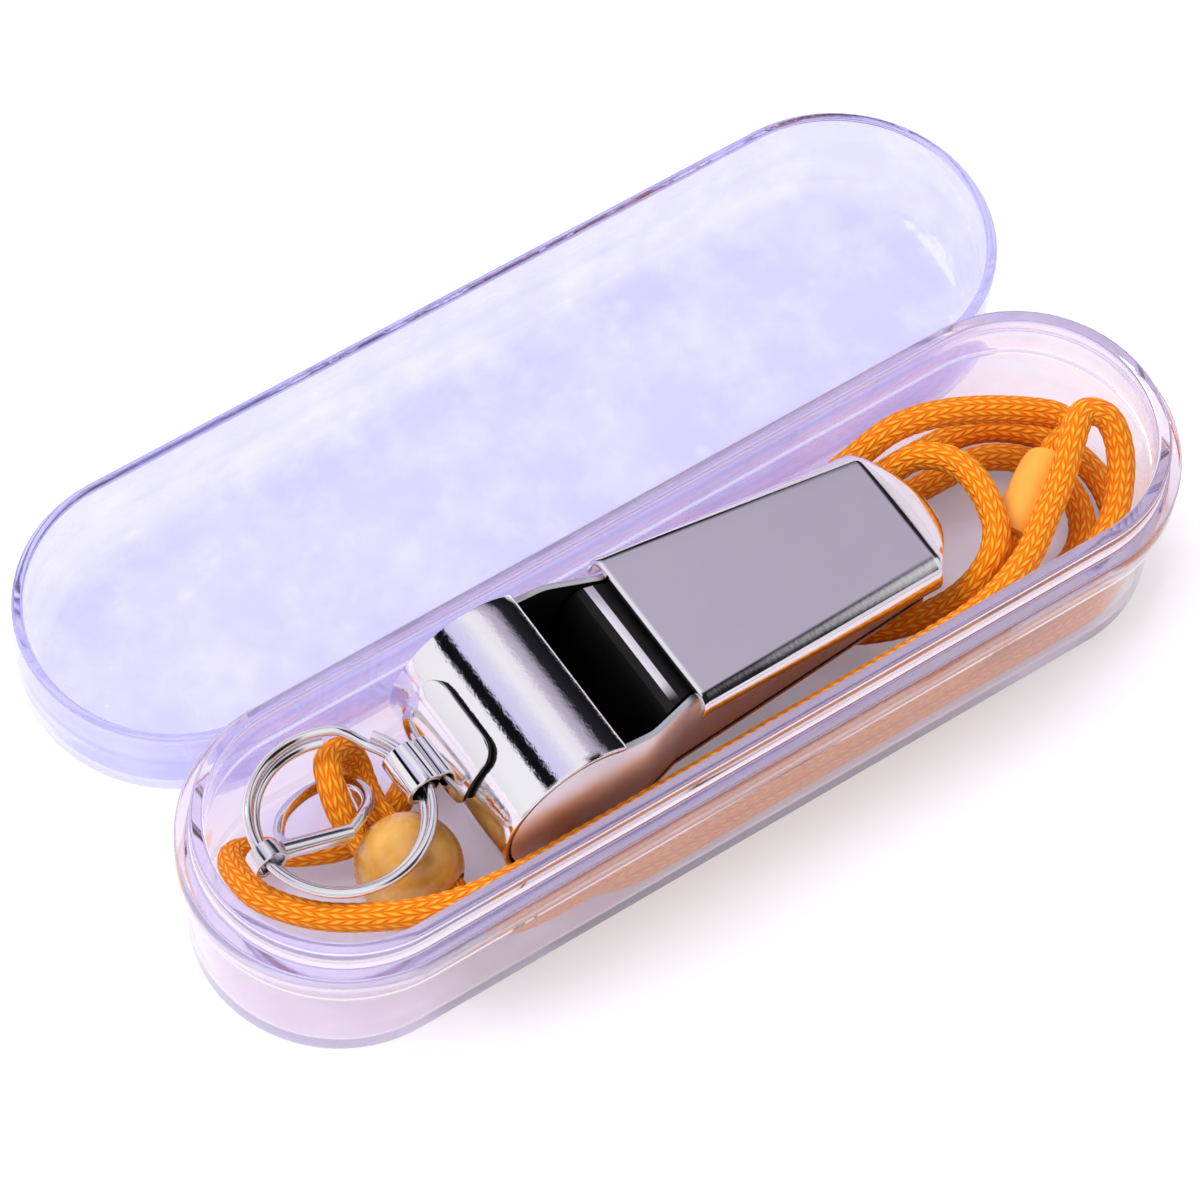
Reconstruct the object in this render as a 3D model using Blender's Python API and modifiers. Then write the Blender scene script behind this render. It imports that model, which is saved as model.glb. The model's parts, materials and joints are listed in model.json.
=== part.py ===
"""Pea whistle of plated sheet metal with its split ring, cord link, bead and neck lanyard.

The whistle lies packed in a clear two-part case. Its lid lies open side up beside the base.
Metres, +Z up. The origin is the centre of the case base's underside, +X runs along the case.
"""

import math

import bmesh
import bpy
from mathutils import Matrix, Vector

MM = 0.001

# Clearances
SEAT_GAP = 0.3 * MM  # between pieces that touch
SOLDER_GAP = 0.3 * MM  # between soldered sheets
LID_FIT = 0.25 * MM  # lid rim round the base's neck
CORD_GAP = 0.3 * MM  # cord to what it lies on
EYE_CLEARANCE = 0.45 * MM  # ring wires in the lug's eye
HEAD_CLEARANCE = 0.35 * MM  # ring wires in the link's head

# Case
CASE_LENGTH = 115 * MM
CASE_WIDTH = 32.6 * MM
BODY_INSET = 1.3 * MM
BODY_HEIGHT = 13.8 * MM
COLLAR_HEIGHT = 4.1 * MM
NECK_HEIGHT = 3.0 * MM
NECK_INSET = 1.4 * MM
NECK_WALL = 1.5 * MM
CASE_FLOOR = 1.5 * MM
BODY_EDGE_RADIUS = 1.1 * MM
LID_RIM_DROP = 0.9 * MM  # lid's rim below the base's collar where they lie side by side
LID_FLOOR = 1.3 * MM
LID_EDGE_RADIUS = 4.6 * MM
LID_SIDE_GAP = 0.5 * MM
LID_SHIFT = 1.7 * MM
ARC_STEPS = 20

# Whistle, in its own frame: X to the tip, Z up from the barrel's axis
BARREL_RADIUS = 9.25 * MM
BARREL_WIDTH = 20.4 * MM
SHEET = 0.6 * MM
SIDE_SHEET = 0.7 * MM
SIDE_RECESS = 0.1 * MM
PLATE_HEIGHT = 8.4 * MM  # top plate above the barrel's axis
PLATE_START = 13.3 * MM
PLATE_LENGTH = 31.0 * MM
PLATE_REAR_WIDTH = 18.9 * MM
PLATE_TIP_WIDTH = 16.3 * MM
FLANGE_DEPTH = 1.5 * MM
FOLD_RADIUS = 0.8 * MM
LIP_REACH = 4.45 * MM
LIP_DROP = 2.1 * MM
MOUTH_HEIGHT = 6.75 * MM
WINDOW_LENGTH = 9.6 * MM
UNDERSIDE_ANGLE = math.radians(235)  # where the strip leaves the barrel
BEND_START = 7.6 * MM  # side plates are flat up to here
RAMP_REAR = 11.4 * MM
RAMP_FLAT = 4.0 * MM
WINDWAY = 1.0 * MM
WHISTLE_PITCH = math.radians(7.5)
BARREL_FROM_END = 38.63 * MM  # barrel's axis from the case's round end
BARREL_SIDE_GAP = 1.94 * MM  # barrel to the far wall of the case
PEA_DIAMETER = 9.6 * MM

# Ring lug
LUG_SHEET = 0.6 * MM
LUG_TOP_ANGLE = math.radians(46.5)
LUG_EYE_ANGLE = math.radians(98.9)
LUG_WIDTH = 10.9 * MM
LUG_OFFSET = 1.55 * MM
LUG_CORNER = 2.2 * MM
EYE_WALL = 0.55 * MM
EYE_LENGTH = 4.8 * MM

# Split ring and link
RING_WIRE = 1.05 * MM
RING_RADIUS = 9.05 * MM  # wire centre of the upper coil
COIL_STEP_IN = 0.7 * MM  # the lower coil is this much smaller
COIL_STEP_DOWN = 1.0 * MM
RING_START = math.radians(69)
RING_SIDE_GAP = 0.325 * MM  # ring to the far wall of the case
HEAD_WALL = 0.4 * MM
HEAD_LENGTH = 2.0 * MM
ROD_DIAMETER = 1.9 * MM
BOW_DIAMETER = 1.3 * MM

BOW_ROUTE = [
    (-0.653, 0.177, -0.239), (-0.455, 0.453, -0.383), (-0.112, 0.641, -0.560), (0.230, 0.696, -0.670),
    (0.463, 0.608, -0.659), (0.551, 0.409, -0.582), (0.485, 0.166, -0.460), (0.275, -0.011, -0.350),
    (0.054, -0.121, -0.305),
]  # from the ring's centre, in ring radii, the last at the rod's end

# Bead and lanyard
CORD_DIAMETER = 3.0 * MM
BEAD_DIAMETER = 11.0 * MM
BEAD_FROM_RING = (4.59 * MM, -5.7 * MM)  # from the split ring's centre
BORE_ANGLE = math.radians(8)  # the bead's bore, turned from -Y towards +X
STRAND_SPACING = 3.4 * MM
BORE_CLEARANCE = 0.35 * MM
SLEEVE_DIAMETER = 5.4 * MM
SLEEVE_LENGTH = 10.5 * MM
SLEEVE_CENTRE = Vector((41.9, -2.0, 9.9)) * MM
SLEEVE_ANGLE = math.radians(32)
TUBE_STEP = 9.0 * MM  # between points on a free stretch's straight runs
TUBE_TURN = math.radians(50)  # most turning from point to point in its bends
HANK_TRACKS = (11.55 * MM, 8.05 * MM, 4.55 * MM)  # half widths of its loops
HANK_ARC_X = (-13.5 * MM, 41.2 * MM)  # centres of its end turns
HANK_START_X = -16 * MM
HANK_END_X = 0.0

# What follows from these
CASE_RADIUS = CASE_WIDTH / 2
RIM_HEIGHT = BODY_HEIGHT + COLLAR_HEIGHT + NECK_HEIGHT
CAVITY_INSET = NECK_INSET + NECK_WALL
CAVITY_HALF = CASE_RADIUS - CAVITY_INSET
LID_WALL = NECK_INSET - LID_FIT
LID_HEIGHT = BODY_HEIGHT - LID_RIM_DROP
FLOOR_CORD_Z = CASE_FLOOR + CORD_GAP + CORD_DIAMETER / 2
WHISTLE_X = BARREL_FROM_END - CASE_LENGTH / 2
WHISTLE_Y = CAVITY_HALF - BARREL_SIDE_GAP - BARREL_WIDTH / 2
WHISTLE_Z = CASE_FLOOR + 2 * CORD_GAP + CORD_DIAMETER + BARREL_RADIUS
PLATE_END = PLATE_START + PLATE_LENGTH
CHAMBER_RADIUS = BARREL_RADIUS - SHEET
RING_WIRES = math.hypot(COIL_STEP_IN, COIL_STEP_DOWN) + RING_WIRE  # across both coils
RING_Y = CAVITY_HALF - RING_SIDE_GAP - RING_RADIUS - RING_WIRE / 2
EYE_BORE = RING_WIRES + 2 * EYE_CLEARANCE
EYE_RADIUS = EYE_BORE / 2 + EYE_WALL
EYE_REACH = BARREL_RADIUS + SOLDER_GAP + EYE_RADIUS  # eye's axis from the barrel's
BEAD_Z = CASE_FLOOR + SEAT_GAP + BEAD_DIAMETER / 2

COLOURS = {
    "clear_plastic": ((0.80, 0.79, 0.97, 1), 0.08, 0.0),
    "polished_metal": ((0.78, 0.77, 0.80, 1), 0.10, 1.0),
    "pea_cork": ((0.55, 0.36, 0.18, 1), 0.80, 0.0),
    "bead_plastic": ((0.72, 0.42, 0.10, 1), 0.30, 0.0),
    "orange_cord": ((0.93, 0.30, 0.03, 1), 0.85, 0.0),
    "orange_sleeve": ((0.95, 0.42, 0.05, 1), 0.45, 0.0),
}


def clear_scene():
    for old in list(bpy.data.objects):
        bpy.data.objects.remove(old, do_unlink=True)


def new_collection(name):
    collection = bpy.data.collections.new(name)
    bpy.context.scene.collection.children.link(collection)
    return collection


def material_for(node, slot):
    colour, roughness, metallic = COLOURS[slot]
    material = bpy.data.materials.new(node + "_" + slot)
    material.use_nodes = True
    shader = material.node_tree.nodes["Principled BSDF"]
    shader.inputs["Base Color"].default_value = colour
    shader.inputs["Roughness"].default_value = roughness
    shader.inputs["Metallic"].default_value = metallic
    material.diffuse_color = colour
    return material


def add_object(name, data, collection, parent=None, slot=None):
    piece = bpy.data.objects.new(name, data)
    collection.objects.link(piece)
    if slot is not None:
        data.materials.append(material_for(name, slot))
    if parent is not None:
        piece.parent = parent
    return piece


def mesh_from(bm, name):
    bmesh.ops.recalc_face_normals(bm, faces=bm.faces)
    mesh = bpy.data.meshes.new(name)
    bm.to_mesh(mesh)
    bm.free()
    return mesh


def shade_round(piece, angle=35):
    piece.data.shade_smooth()
    piece.data.set_sharp_from_angle(angle=math.radians(angle))


def as_mesh(piece):
    """Turn a curve, or an object with modifiers, into a plain mesh object with welded caps."""
    bpy.context.view_layer.update()
    evaluated = piece.evaluated_get(bpy.context.evaluated_depsgraph_get())
    mesh = bpy.data.meshes.new_from_object(evaluated)
    bm = bmesh.new()
    bm.from_mesh(mesh)
    bmesh.ops.remove_doubles(bm, verts=bm.verts, dist=0.000001)
    bm.to_mesh(mesh)
    bm.free()
    name = piece.name
    collection = piece.users_collection[0]
    parent = piece.parent
    matrix = piece.matrix_world.copy()
    bpy.data.objects.remove(piece, do_unlink=True)
    mesh.name = name
    result = bpy.data.objects.new(name, mesh)
    collection.objects.link(result)
    result.parent = parent
    result.matrix_world = matrix
    return result


def hide_cutter(cutter):
    cutter.hide_render = True
    cutter.display_type = "WIRE"


def boolean(piece, other, operation):
    modifier = piece.modifiers.new(operation.lower() + "_" + other.name, "BOOLEAN")
    modifier.operation = operation
    modifier.object = other
    modifier.solver = "EXACT"


# Curves and outlines


def stadium(length, width, centre=(0.0, 0.0), steps=ARC_STEPS):
    """Points of an outline with two straight sides and round ends."""
    radius = width / 2
    points = []
    for side in (1, -1):
        arc_x = side * (length / 2 - radius)
        first = -math.pi / 2 if side > 0 else math.pi / 2
        for step in range(steps + 1):
            angle = first + math.pi * step / steps
            points.append((centre[0] + arc_x + radius * math.cos(angle), centre[1] + radius * math.sin(angle)))
    return points


def outline_solid(name, points, low, high, collection):
    """A flat outline made solid between two heights."""
    curve = bpy.data.curves.new(name, "CURVE")
    curve.dimensions = "2D"
    curve.fill_mode = "BOTH"
    curve.extrude = (high - low) / 2
    spline = curve.splines.new("POLY")
    spline.points.add(len(points) - 1)
    for point, (x, y) in zip(spline.points, points):
        point.co = (x, y, 0, 1)
    spline.use_cyclic_u = True
    piece = add_object(name, curve, collection)
    piece.location.z = (low + high) / 2
    return as_mesh(piece)


def round_rim(piece, height, radius, segments):
    """Round the outline's edge at one local height."""
    bm = bmesh.new()
    bm.from_mesh(piece.data)
    rim = [e for e in bm.edges if all(abs(v.co.z - height) < 0.00001 for v in e.verts) and e.calc_face_angle(0) > 1]
    bmesh.ops.bevel(bm, geom=rim, offset=radius, segments=segments, profile=0.5, affect="EDGES")
    bm.to_mesh(piece.data)
    bm.free()


def smooth_route(route, step, turn=None):
    """Points on the smooth curve through a route's own points, closer together in its bends."""
    knots = [Vector(p) * MM for p in route]
    ends = [2 * knots[0] - knots[1]] + knots + [2 * knots[-1] - knots[-2]]
    fine = [knots[0]]
    for before, start, stop, after in zip(ends, ends[1:], ends[2:], ends[3:]):
        span = (stop - start).length
        leave = (stop - before) * (span / (span + (start - before).length))
        arrive = (after - start) * (span / (span + (after - stop).length))
        for index in range(1, 13):
            t = index / 12
            fine.append(
                (2 * t**3 - 3 * t**2 + 1) * start
                + (t**3 - 2 * t**2 + t) * leave
                + (3 * t**2 - 2 * t**3) * stop
                + (t**3 - t**2) * arrive
            )
    return even_points(fine, step, turn)


def even_points(fine, step, turn=None):
    """Points along a path, each the same share of length, and of turning if that counts, apart."""
    distances = [0.0]
    for a, b in zip(fine, fine[1:]):
        distances.append(distances[-1] + (b - a).length / step)
    if turn is not None:
        turned = 0.0
        for index in range(1, len(fine) - 1):
            turned += (fine[index] - fine[index - 1]).angle(fine[index + 1] - fine[index], 0.0) / turn
            distances[index] += turned
        distances[-1] += turned
    count = max(2, round(distances[-1]))
    points = []
    span = 0
    for index in range(count + 1):
        wanted = distances[-1] * index / count
        while span < len(fine) - 2 and distances[span + 1] < wanted:
            span += 1
        share = (wanted - distances[span]) / (distances[span + 1] - distances[span])
        points.append(fine[span].lerp(fine[span + 1], share))
    return points


def tube(name, points, diameter, resolution, collection, parent=None, slot=None):
    """A round wire or cord along points, with filled ends."""
    curve = bpy.data.curves.new(name, "CURVE")
    curve.dimensions = "3D"
    curve.bevel_depth = diameter / 2
    curve.bevel_resolution = resolution
    curve.use_fill_caps = True
    spline = curve.splines.new("POLY")
    spline.points.add(len(points) - 1)
    for point, place in zip(spline.points, points):
        point.co = (*place, 1)
    piece = add_object(name, curve, collection, parent, slot)
    return piece


def cylinder(name, radius, length, centre, along, segments, collection, parent=None, slot=None):
    bm = bmesh.new()
    bmesh.ops.create_cone(
        bm, cap_ends=True, cap_tris=False, segments=segments, radius1=radius, radius2=radius, depth=length
    )
    turn = Vector((0, 0, 1)).rotation_difference(Vector(along)).to_matrix().to_4x4()
    bmesh.ops.transform(bm, matrix=Matrix.Translation(centre) @ turn, verts=bm.verts)
    return add_object(name, mesh_from(bm, name), collection, parent, slot)


def sheet(name, rows, thickness, collection, parent, slot, offset=-1):
    """An open surface lofted through rows of points and given a wall thickness."""
    bm = bmesh.new()
    grid = [[bm.verts.new(point) for point in row] for row in rows]
    for first, second in zip(grid, grid[1:]):
        for a, b, c, d in zip(first, first[1:], second[1:], second):
            bm.faces.new((a, b, c, d))
    bmesh.ops.remove_doubles(bm, verts=bm.verts, dist=0.00001)
    bmesh.ops.dissolve_degenerate(bm, edges=bm.edges, dist=0.00001)
    mesh = bpy.data.meshes.new(name)
    bm.to_mesh(mesh)
    bm.free()
    piece = add_object(name, mesh, collection, parent, slot)
    solidify = piece.modifiers.new("wall", "SOLIDIFY")
    solidify.thickness = thickness
    solidify.offset = offset
    solidify.use_even_offset = True
    return piece


# Case


def case_base(parts, cutters):
    middle = BODY_HEIGHT + COLLAR_HEIGHT
    body_size = (CASE_LENGTH - 2 * BODY_INSET, CASE_WIDTH - 2 * BODY_INSET)
    neck_size = (CASE_LENGTH - 2 * NECK_INSET, CASE_WIDTH - 2 * NECK_INSET)
    cavity_size = (CASE_LENGTH - 2 * CAVITY_INSET, CASE_WIDTH - 2 * CAVITY_INSET)
    base = outline_solid("case_base", stadium(*body_size), 0, BODY_HEIGHT + SHEET, parts)
    round_rim(base, -(BODY_HEIGHT + SHEET) / 2, BODY_EDGE_RADIUS, 3)
    collar = outline_solid("collar_form", stadium(CASE_LENGTH, CASE_WIDTH), BODY_HEIGHT, middle, cutters)
    neck = outline_solid("neck_form", stadium(*neck_size), middle - SHEET, RIM_HEIGHT, cutters)
    cavity = outline_solid("base_cavity", stadium(*cavity_size), CASE_FLOOR, RIM_HEIGHT + MM, cutters)
    for form in (collar, neck):
        boolean(base, form, "UNION")
    boolean(base, cavity, "DIFFERENCE")
    for form in (collar, neck, cavity):
        hide_cutter(form)
    base.data.materials.append(material_for("case_base", "clear_plastic"))
    shade_round(base)


def case_lid(parts, cutters, lid_seat):
    lid = outline_solid("case_lid", stadium(CASE_LENGTH, CASE_WIDTH), 0, LID_HEIGHT, parts)
    round_rim(lid, -LID_HEIGHT / 2, LID_EDGE_RADIUS, 5)
    inner_size = (CASE_LENGTH - 2 * LID_WALL, CASE_WIDTH - 2 * LID_WALL)
    cavity = outline_solid("lid_cavity", stadium(*inner_size), LID_FLOOR, LID_HEIGHT + MM, cutters)
    round_rim(cavity, -(LID_HEIGHT + MM - LID_FLOOR) / 2, LID_EDGE_RADIUS - LID_WALL, 5)
    for form in (lid, cavity):
        form.parent = lid_seat
    boolean(lid, cavity, "DIFFERENCE")
    hide_cutter(cavity)
    lid.data.materials.append(material_for("case_lid", "clear_plastic"))
    shade_round(lid)


# Whistle


def blend_width(x, wide, rear, tip):
    """Half width at x: wide on the barrel, then from rear to tip along the mouthpiece."""
    if x <= BEND_START:
        return wide
    if x <= PLATE_START:
        return wide + (rear - wide) * (x - BEND_START) / (PLATE_START - BEND_START)
    return rear + (tip - rear) * (x - PLATE_START) / PLATE_LENGTH


def strip_half_width(x):
    fold_cover = SHEET + SOLDER_GAP
    return blend_width(x, BARREL_WIDTH / 2, PLATE_REAR_WIDTH / 2 - fold_cover, PLATE_TIP_WIDTH / 2 - fold_cover)


def side_face(x):
    """Outer face of a side plate."""
    return strip_half_width(x) - SIDE_RECESS


def barrel_point(radius, angle):
    """A point round the barrel, its angle counted from the top towards the rear."""
    return (-radius * math.sin(angle), radius * math.cos(angle))


def underside_height(x):
    leave = barrel_point(BARREL_RADIUS, UNDERSIDE_ANGLE)
    mouth = PLATE_HEIGHT - MOUTH_HEIGHT
    return leave[1] + (mouth - leave[1]) * (x - leave[0]) / (PLATE_END - leave[0])


def mouthpiece_top(parts, frame):
    """The top plate with its folded side flanges and the bent lip at the tip."""
    rows = []
    for x, width in ((PLATE_START, PLATE_REAR_WIDTH), (PLATE_END, PLATE_TIP_WIDTH)):
        half = width / 2
        section = [(-half, PLATE_HEIGHT - FOLD_RADIUS - FLANGE_DEPTH)]
        for step in range(5):
            angle = math.pi / 2 * step / 4
            section.append((
                -half + FOLD_RADIUS * (1 - math.cos(angle)),
                PLATE_HEIGHT - FOLD_RADIUS * (1 - math.sin(angle)),
            ))
        section += [(share * (half - FOLD_RADIUS), PLATE_HEIGHT) for share in (-0.75, -0.5, -0.25, 0, 0.25, 0.5, 0.75)]
        section += [(-y, z) for y, z in reversed(section[:6])]
        rows.append([(x, y, z) for y, z in section])
    lip = []
    for x, y, z in rows[1]:
        bulge = max(0.0, 1 - (y / (PLATE_TIP_WIDTH / 2 - FOLD_RADIUS)) ** 2)
        lip.append((x + LIP_REACH * bulge, y, z - LIP_DROP * bulge))
    rows.append(lip)
    piece = sheet("mouthpiece_top", rows, SHEET, parts, frame, "polished_metal")
    shade_round(piece)


def side_plates(parts, frame):
    """A sheet on each side: a disc at the barrel that runs on along the mouthpiece."""
    rise = SHEET + SOLDER_GAP
    inner = BARREL_RADIUS - rise
    blade = -math.asin((PLATE_START - WINDOW_LENGTH) / BARREL_RADIUS)
    slope = math.atan2(underside_height(PLATE_END) - underside_height(0), PLATE_END)
    depth = -underside_height(0) * math.cos(slope) - rise
    corner = math.pi + slope + math.acos(depth / inner)  # where disc and underside meet
    steps = 26
    outline = [barrel_point(inner, blade + (corner - blade) * step / steps) for step in range(steps + 1)]
    plate_under = PLATE_HEIGHT - rise
    tip_x = PLATE_END - SHEET
    outline.append((tip_x, underside_height(tip_x) + rise / math.cos(slope)))
    outline.append((tip_x, plate_under))
    outline.append((PLATE_START, plate_under))
    for side, name in ((-1, "side_plate_near"), (1, "side_plate_far")):
        bm = bmesh.new()
        bm.faces.new([bm.verts.new((x, 0, z)) for x, z in outline])
        for bend_x in (BEND_START, PLATE_START):
            geometry = list(bm.verts) + list(bm.edges) + list(bm.faces)
            bmesh.ops.bisect_plane(bm, geom=geometry, dist=0.000001, plane_co=(bend_x, 0, 0), plane_no=(1, 0, 0))
        for vert in bm.verts:
            vert.co.y = side * side_face(vert.co.x)
        bmesh.ops.recalc_face_normals(bm, faces=bm.faces)
        outward = sum(face.normal.y * face.calc_area() for face in bm.faces) * side
        if outward < 0:
            bmesh.ops.reverse_faces(bm, faces=bm.faces)
        mesh = bpy.data.meshes.new(name)
        bm.to_mesh(mesh)
        bm.free()
        piece = add_object(name, mesh, parts, frame, "polished_metal")
        wall = piece.modifiers.new("wall", "SOLIDIFY")
        wall.thickness = SIDE_SHEET
        wall.offset = -1


def barrel_strip(parts, frame):
    """One strip from the window's blade round the chamber and along the underside to the mouth."""
    blade = -math.asin((PLATE_START - WINDOW_LENGTH) / BARREL_RADIUS)
    steps = 28
    path = [barrel_point(BARREL_RADIUS, blade + (UNDERSIDE_ANGLE - blade) * s / steps) for s in range(steps + 1)]
    for x in (BEND_START + 2.0 * MM, PLATE_START, PLATE_END):
        path.append((x, underside_height(x)))
    columns = 8
    rows = []
    for x, z in path:
        half = strip_half_width(x)
        rows.append([(x, half * (2 * c / columns - 1), z) for c in range(columns + 1)])
    lip = []
    for x, y, z in rows[-1]:
        bulge = 1 - (y / strip_half_width(PLATE_END)) ** 2
        reach = PLATE_END + LIP_REACH * bulge
        lip.append((reach, y, underside_height(reach)))
    rows.append(lip)
    piece = sheet("barrel_strip", rows, SHEET, parts, frame, "polished_metal")
    shade_round(piece, 40)


def windway_ramp(parts, frame):
    """The ramp inside the mouthpiece that leads the breath up to the window."""
    roof = PLATE_HEIGHT - SHEET
    mouth_x = PLATE_END - 2 * MM
    front_x = barrel_point(BARREL_RADIUS, UNDERSIDE_ANGLE)[0] + MM
    seat = SHEET + SOLDER_GAP + 0.1 * MM
    path = [
        (mouth_x, underside_height(mouth_x) + seat + SHEET),
        (RAMP_REAR + RAMP_FLAT, roof - WINDWAY),
        (PLATE_START, roof - WINDWAY),
        (RAMP_REAR, roof - WINDWAY),
        (RAMP_REAR - 1.2 * MM, roof - WINDWAY - 1.6 * MM),
        (front_x, underside_height(front_x) + seat),
    ]
    rows = []
    for x, z in path:
        half = side_face(x) - SIDE_SHEET - SOLDER_GAP
        rows.append([(x, -half, z), (x, half, z)])
    sheet("windway_ramp", rows, SHEET, parts, frame, "polished_metal", offset=1)


def ring_lug(parts, cutters, frame):
    """A curved plate soldered to the barrel, with a rolled eye on its lower edge."""
    outer = BARREL_RADIUS + SOLDER_GAP + LUG_SHEET
    steps = 12
    length = outer * (LUG_EYE_ANGLE - LUG_TOP_ANGLE)
    rows = []
    for step in range(steps + 1):
        share = (step / steps) ** 1.4
        run = length * share
        angle = LUG_TOP_ANGLE + (LUG_EYE_ANGLE - LUG_TOP_ANGLE) * share
        corner = min(run, length - run)
        inset = 0.0
        if corner < LUG_CORNER:
            inset = LUG_CORNER - math.sqrt(LUG_CORNER**2 - (LUG_CORNER - corner) ** 2)
        x, z = barrel_point(outer, angle)
        half = LUG_WIDTH / 2 - inset
        rows.append([(x, LUG_OFFSET - half, z), (x, LUG_OFFSET, z), (x, LUG_OFFSET + half, z)])
    plate = sheet("ring_lug", rows, LUG_SHEET, parts, frame, "polished_metal")
    eye_x, eye_z = barrel_point(EYE_REACH, LUG_EYE_ANGLE)
    centre = (eye_x, RING_Y - WHISTLE_Y, eye_z)
    eye = cylinder("eye_form", EYE_RADIUS, EYE_LENGTH, centre, (0, 1, 0), 28, cutters, frame)
    bore = cylinder("eye_bore", EYE_BORE / 2, EYE_LENGTH + MM, centre, (0, 1, 0), 28, cutters, frame)
    boolean(plate, eye, "UNION")
    boolean(plate, bore, "DIFFERENCE")
    hide_cutter(eye)
    hide_cutter(bore)
    shade_round(plate)


def pea(parts, axis):
    bm = bmesh.new()
    bmesh.ops.create_uvsphere(bm, u_segments=20, v_segments=12, radius=PEA_DIAMETER / 2)
    drop = CHAMBER_RADIUS - PEA_DIAMETER / 2 - SEAT_GAP
    bmesh.ops.translate(bm, verts=bm.verts, vec=(0, 0, -drop))
    piece = add_object("pea", mesh_from(bm, "pea"), parts, axis, "pea_cork")
    shade_round(piece, 60)


# Split ring, link and bead


def ring_place():
    """The ring's centre: its wires pass level through the lug's eye, as far off both its sides."""
    eye_x, eye_z = barrel_point(EYE_REACH, LUG_EYE_ANGLE)
    turned = Matrix.Rotation(WHISTLE_PITCH, 3, "Y") @ Vector((eye_x, 0, eye_z))
    middle = RING_RADIUS - COIL_STEP_IN / 2
    bow = EYE_LENGTH**2 / (8 * middle)  # how far the wires curve over the eye's length
    return Vector((WHISTLE_X + turned.x - middle + bow / 2, RING_Y, WHISTLE_Z + turned.z))


def split_ring(parts, frame):
    """Two coils of one wire, with the crimped step where it climbs from one to the other."""
    points = []
    steps = 72
    total = math.radians(688)
    climb = (math.radians(326), math.radians(354))
    for step in range(steps + 1):
        turn = total * step / steps
        share = min(1.0, max(0.0, (turn - climb[0]) / (climb[1] - climb[0])))
        level = share * share * (3 - 2 * share)
        radius = RING_RADIUS - COIL_STEP_IN * (1 - level)
        height = COIL_STEP_DOWN * (level - 0.5)
        angle = RING_START + turn
        points.append((radius * math.cos(angle), radius * math.sin(angle), height))
    piece = tube("split_ring", points, RING_WIRE, 2, parts, frame, "polished_metal")
    piece.data.splines[0].use_smooth = True


def cord_link(parts, cutters):
    """A D-shaped wire link: a straight rod with a head on the split ring, and a bow."""
    centre = ring_place()
    head_bore = RING_WIRES + 2 * HEAD_CLEARANCE
    head_radius = head_bore / 2 + HEAD_WALL
    head_at = centre + Vector((COIL_STEP_IN / 2 - RING_RADIUS, -0.3 * MM, 0))
    rod_start = head_at + Vector((head_bore / 2 + HEAD_WALL / 2, 0, -0.2 * MM))
    route = [centre + RING_RADIUS * Vector(place) for place in BOW_ROUTE]
    rod_end = route[-1]
    bow_route = [rod_start.lerp(rod_end, 0.18) / MM] + [point / MM for point in route]
    bow = as_mesh(tube("bow_form", smooth_route(bow_route, 0.9 * MM), BOW_DIAMETER, 2, cutters))
    link = as_mesh(tube("cord_link", [rod_start, rod_end], ROD_DIAMETER, 3, parts))
    head = cylinder("head_form", head_radius, HEAD_LENGTH, head_at, (0, 1, 0), 24, cutters)
    bore = cylinder("head_bore", head_bore / 2, HEAD_LENGTH + MM, head_at, (0, 1, 0), 24, cutters)
    boolean(link, bow, "UNION")
    boolean(link, head, "UNION")
    boolean(link, bore, "DIFFERENCE")
    for form in (bow, head, bore):
        hide_cutter(form)
    link.data.materials.append(material_for("cord_link", "polished_metal"))
    shade_round(link)


def bead_place():
    """The bead lies on the case's floor under the near side of the ring."""
    ring = ring_place()
    return Vector((ring.x + BEAD_FROM_RING[0], ring.y + BEAD_FROM_RING[1], BEAD_Z))


def bore_axes():
    """The direction of the bead's bore and the one across its two strands."""
    along = Vector((math.sin(BORE_ANGLE), -math.cos(BORE_ANGLE), 0))
    across = Vector((math.cos(BORE_ANGLE), math.sin(BORE_ANGLE), 0))
    return along, across


def bead(parts, cutters):
    """A ball on both strands, with an oval bore for them."""
    centre = bead_place()
    bm = bmesh.new()
    bmesh.ops.create_uvsphere(bm, u_segments=28, v_segments=16, radius=BEAD_DIAMETER / 2)
    bmesh.ops.translate(bm, verts=bm.verts, vec=centre)
    ball = add_object("bead", mesh_from(bm, "bead"), parts, None, "bead_plastic")
    height = CORD_DIAMETER + 2 * BORE_CLEARANCE
    outline = stadium(STRAND_SPACING + height, height, steps=10)
    bore = outline_solid("bead_bore", outline, -BEAD_DIAMETER, BEAD_DIAMETER, cutters)
    along, across = bore_axes()
    turn = Matrix((across, Vector((0, 0, 1)), -along)).transposed().to_4x4()
    bore.matrix_world = Matrix.Translation(centre) @ turn
    boolean(ball, bore, "DIFFERENCE")
    hide_cutter(bore)
    shade_round(ball, 40)


# Lanyard


def strand_place(side, run):
    """A point of one strand in the bead, in millimetres: run is along the bore, in bead diameters."""
    along, across = bore_axes()
    place = bead_place() + across * (side * STRAND_SPACING / 2) + along * (run * BEAD_DIAMETER)
    return tuple(place / MM)


def sleeve_end(side, run=0.0):
    """A point of the cord where it meets the sleeve's end, or farther out, in millimetres."""
    along = Vector((math.cos(SLEEVE_ANGLE), math.sin(SLEEVE_ANGLE), 0))
    return tuple((SLEEVE_CENTRE + along * side * (SLEEVE_LENGTH / 2 + CORD_GAP + run)) / MM)


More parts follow.
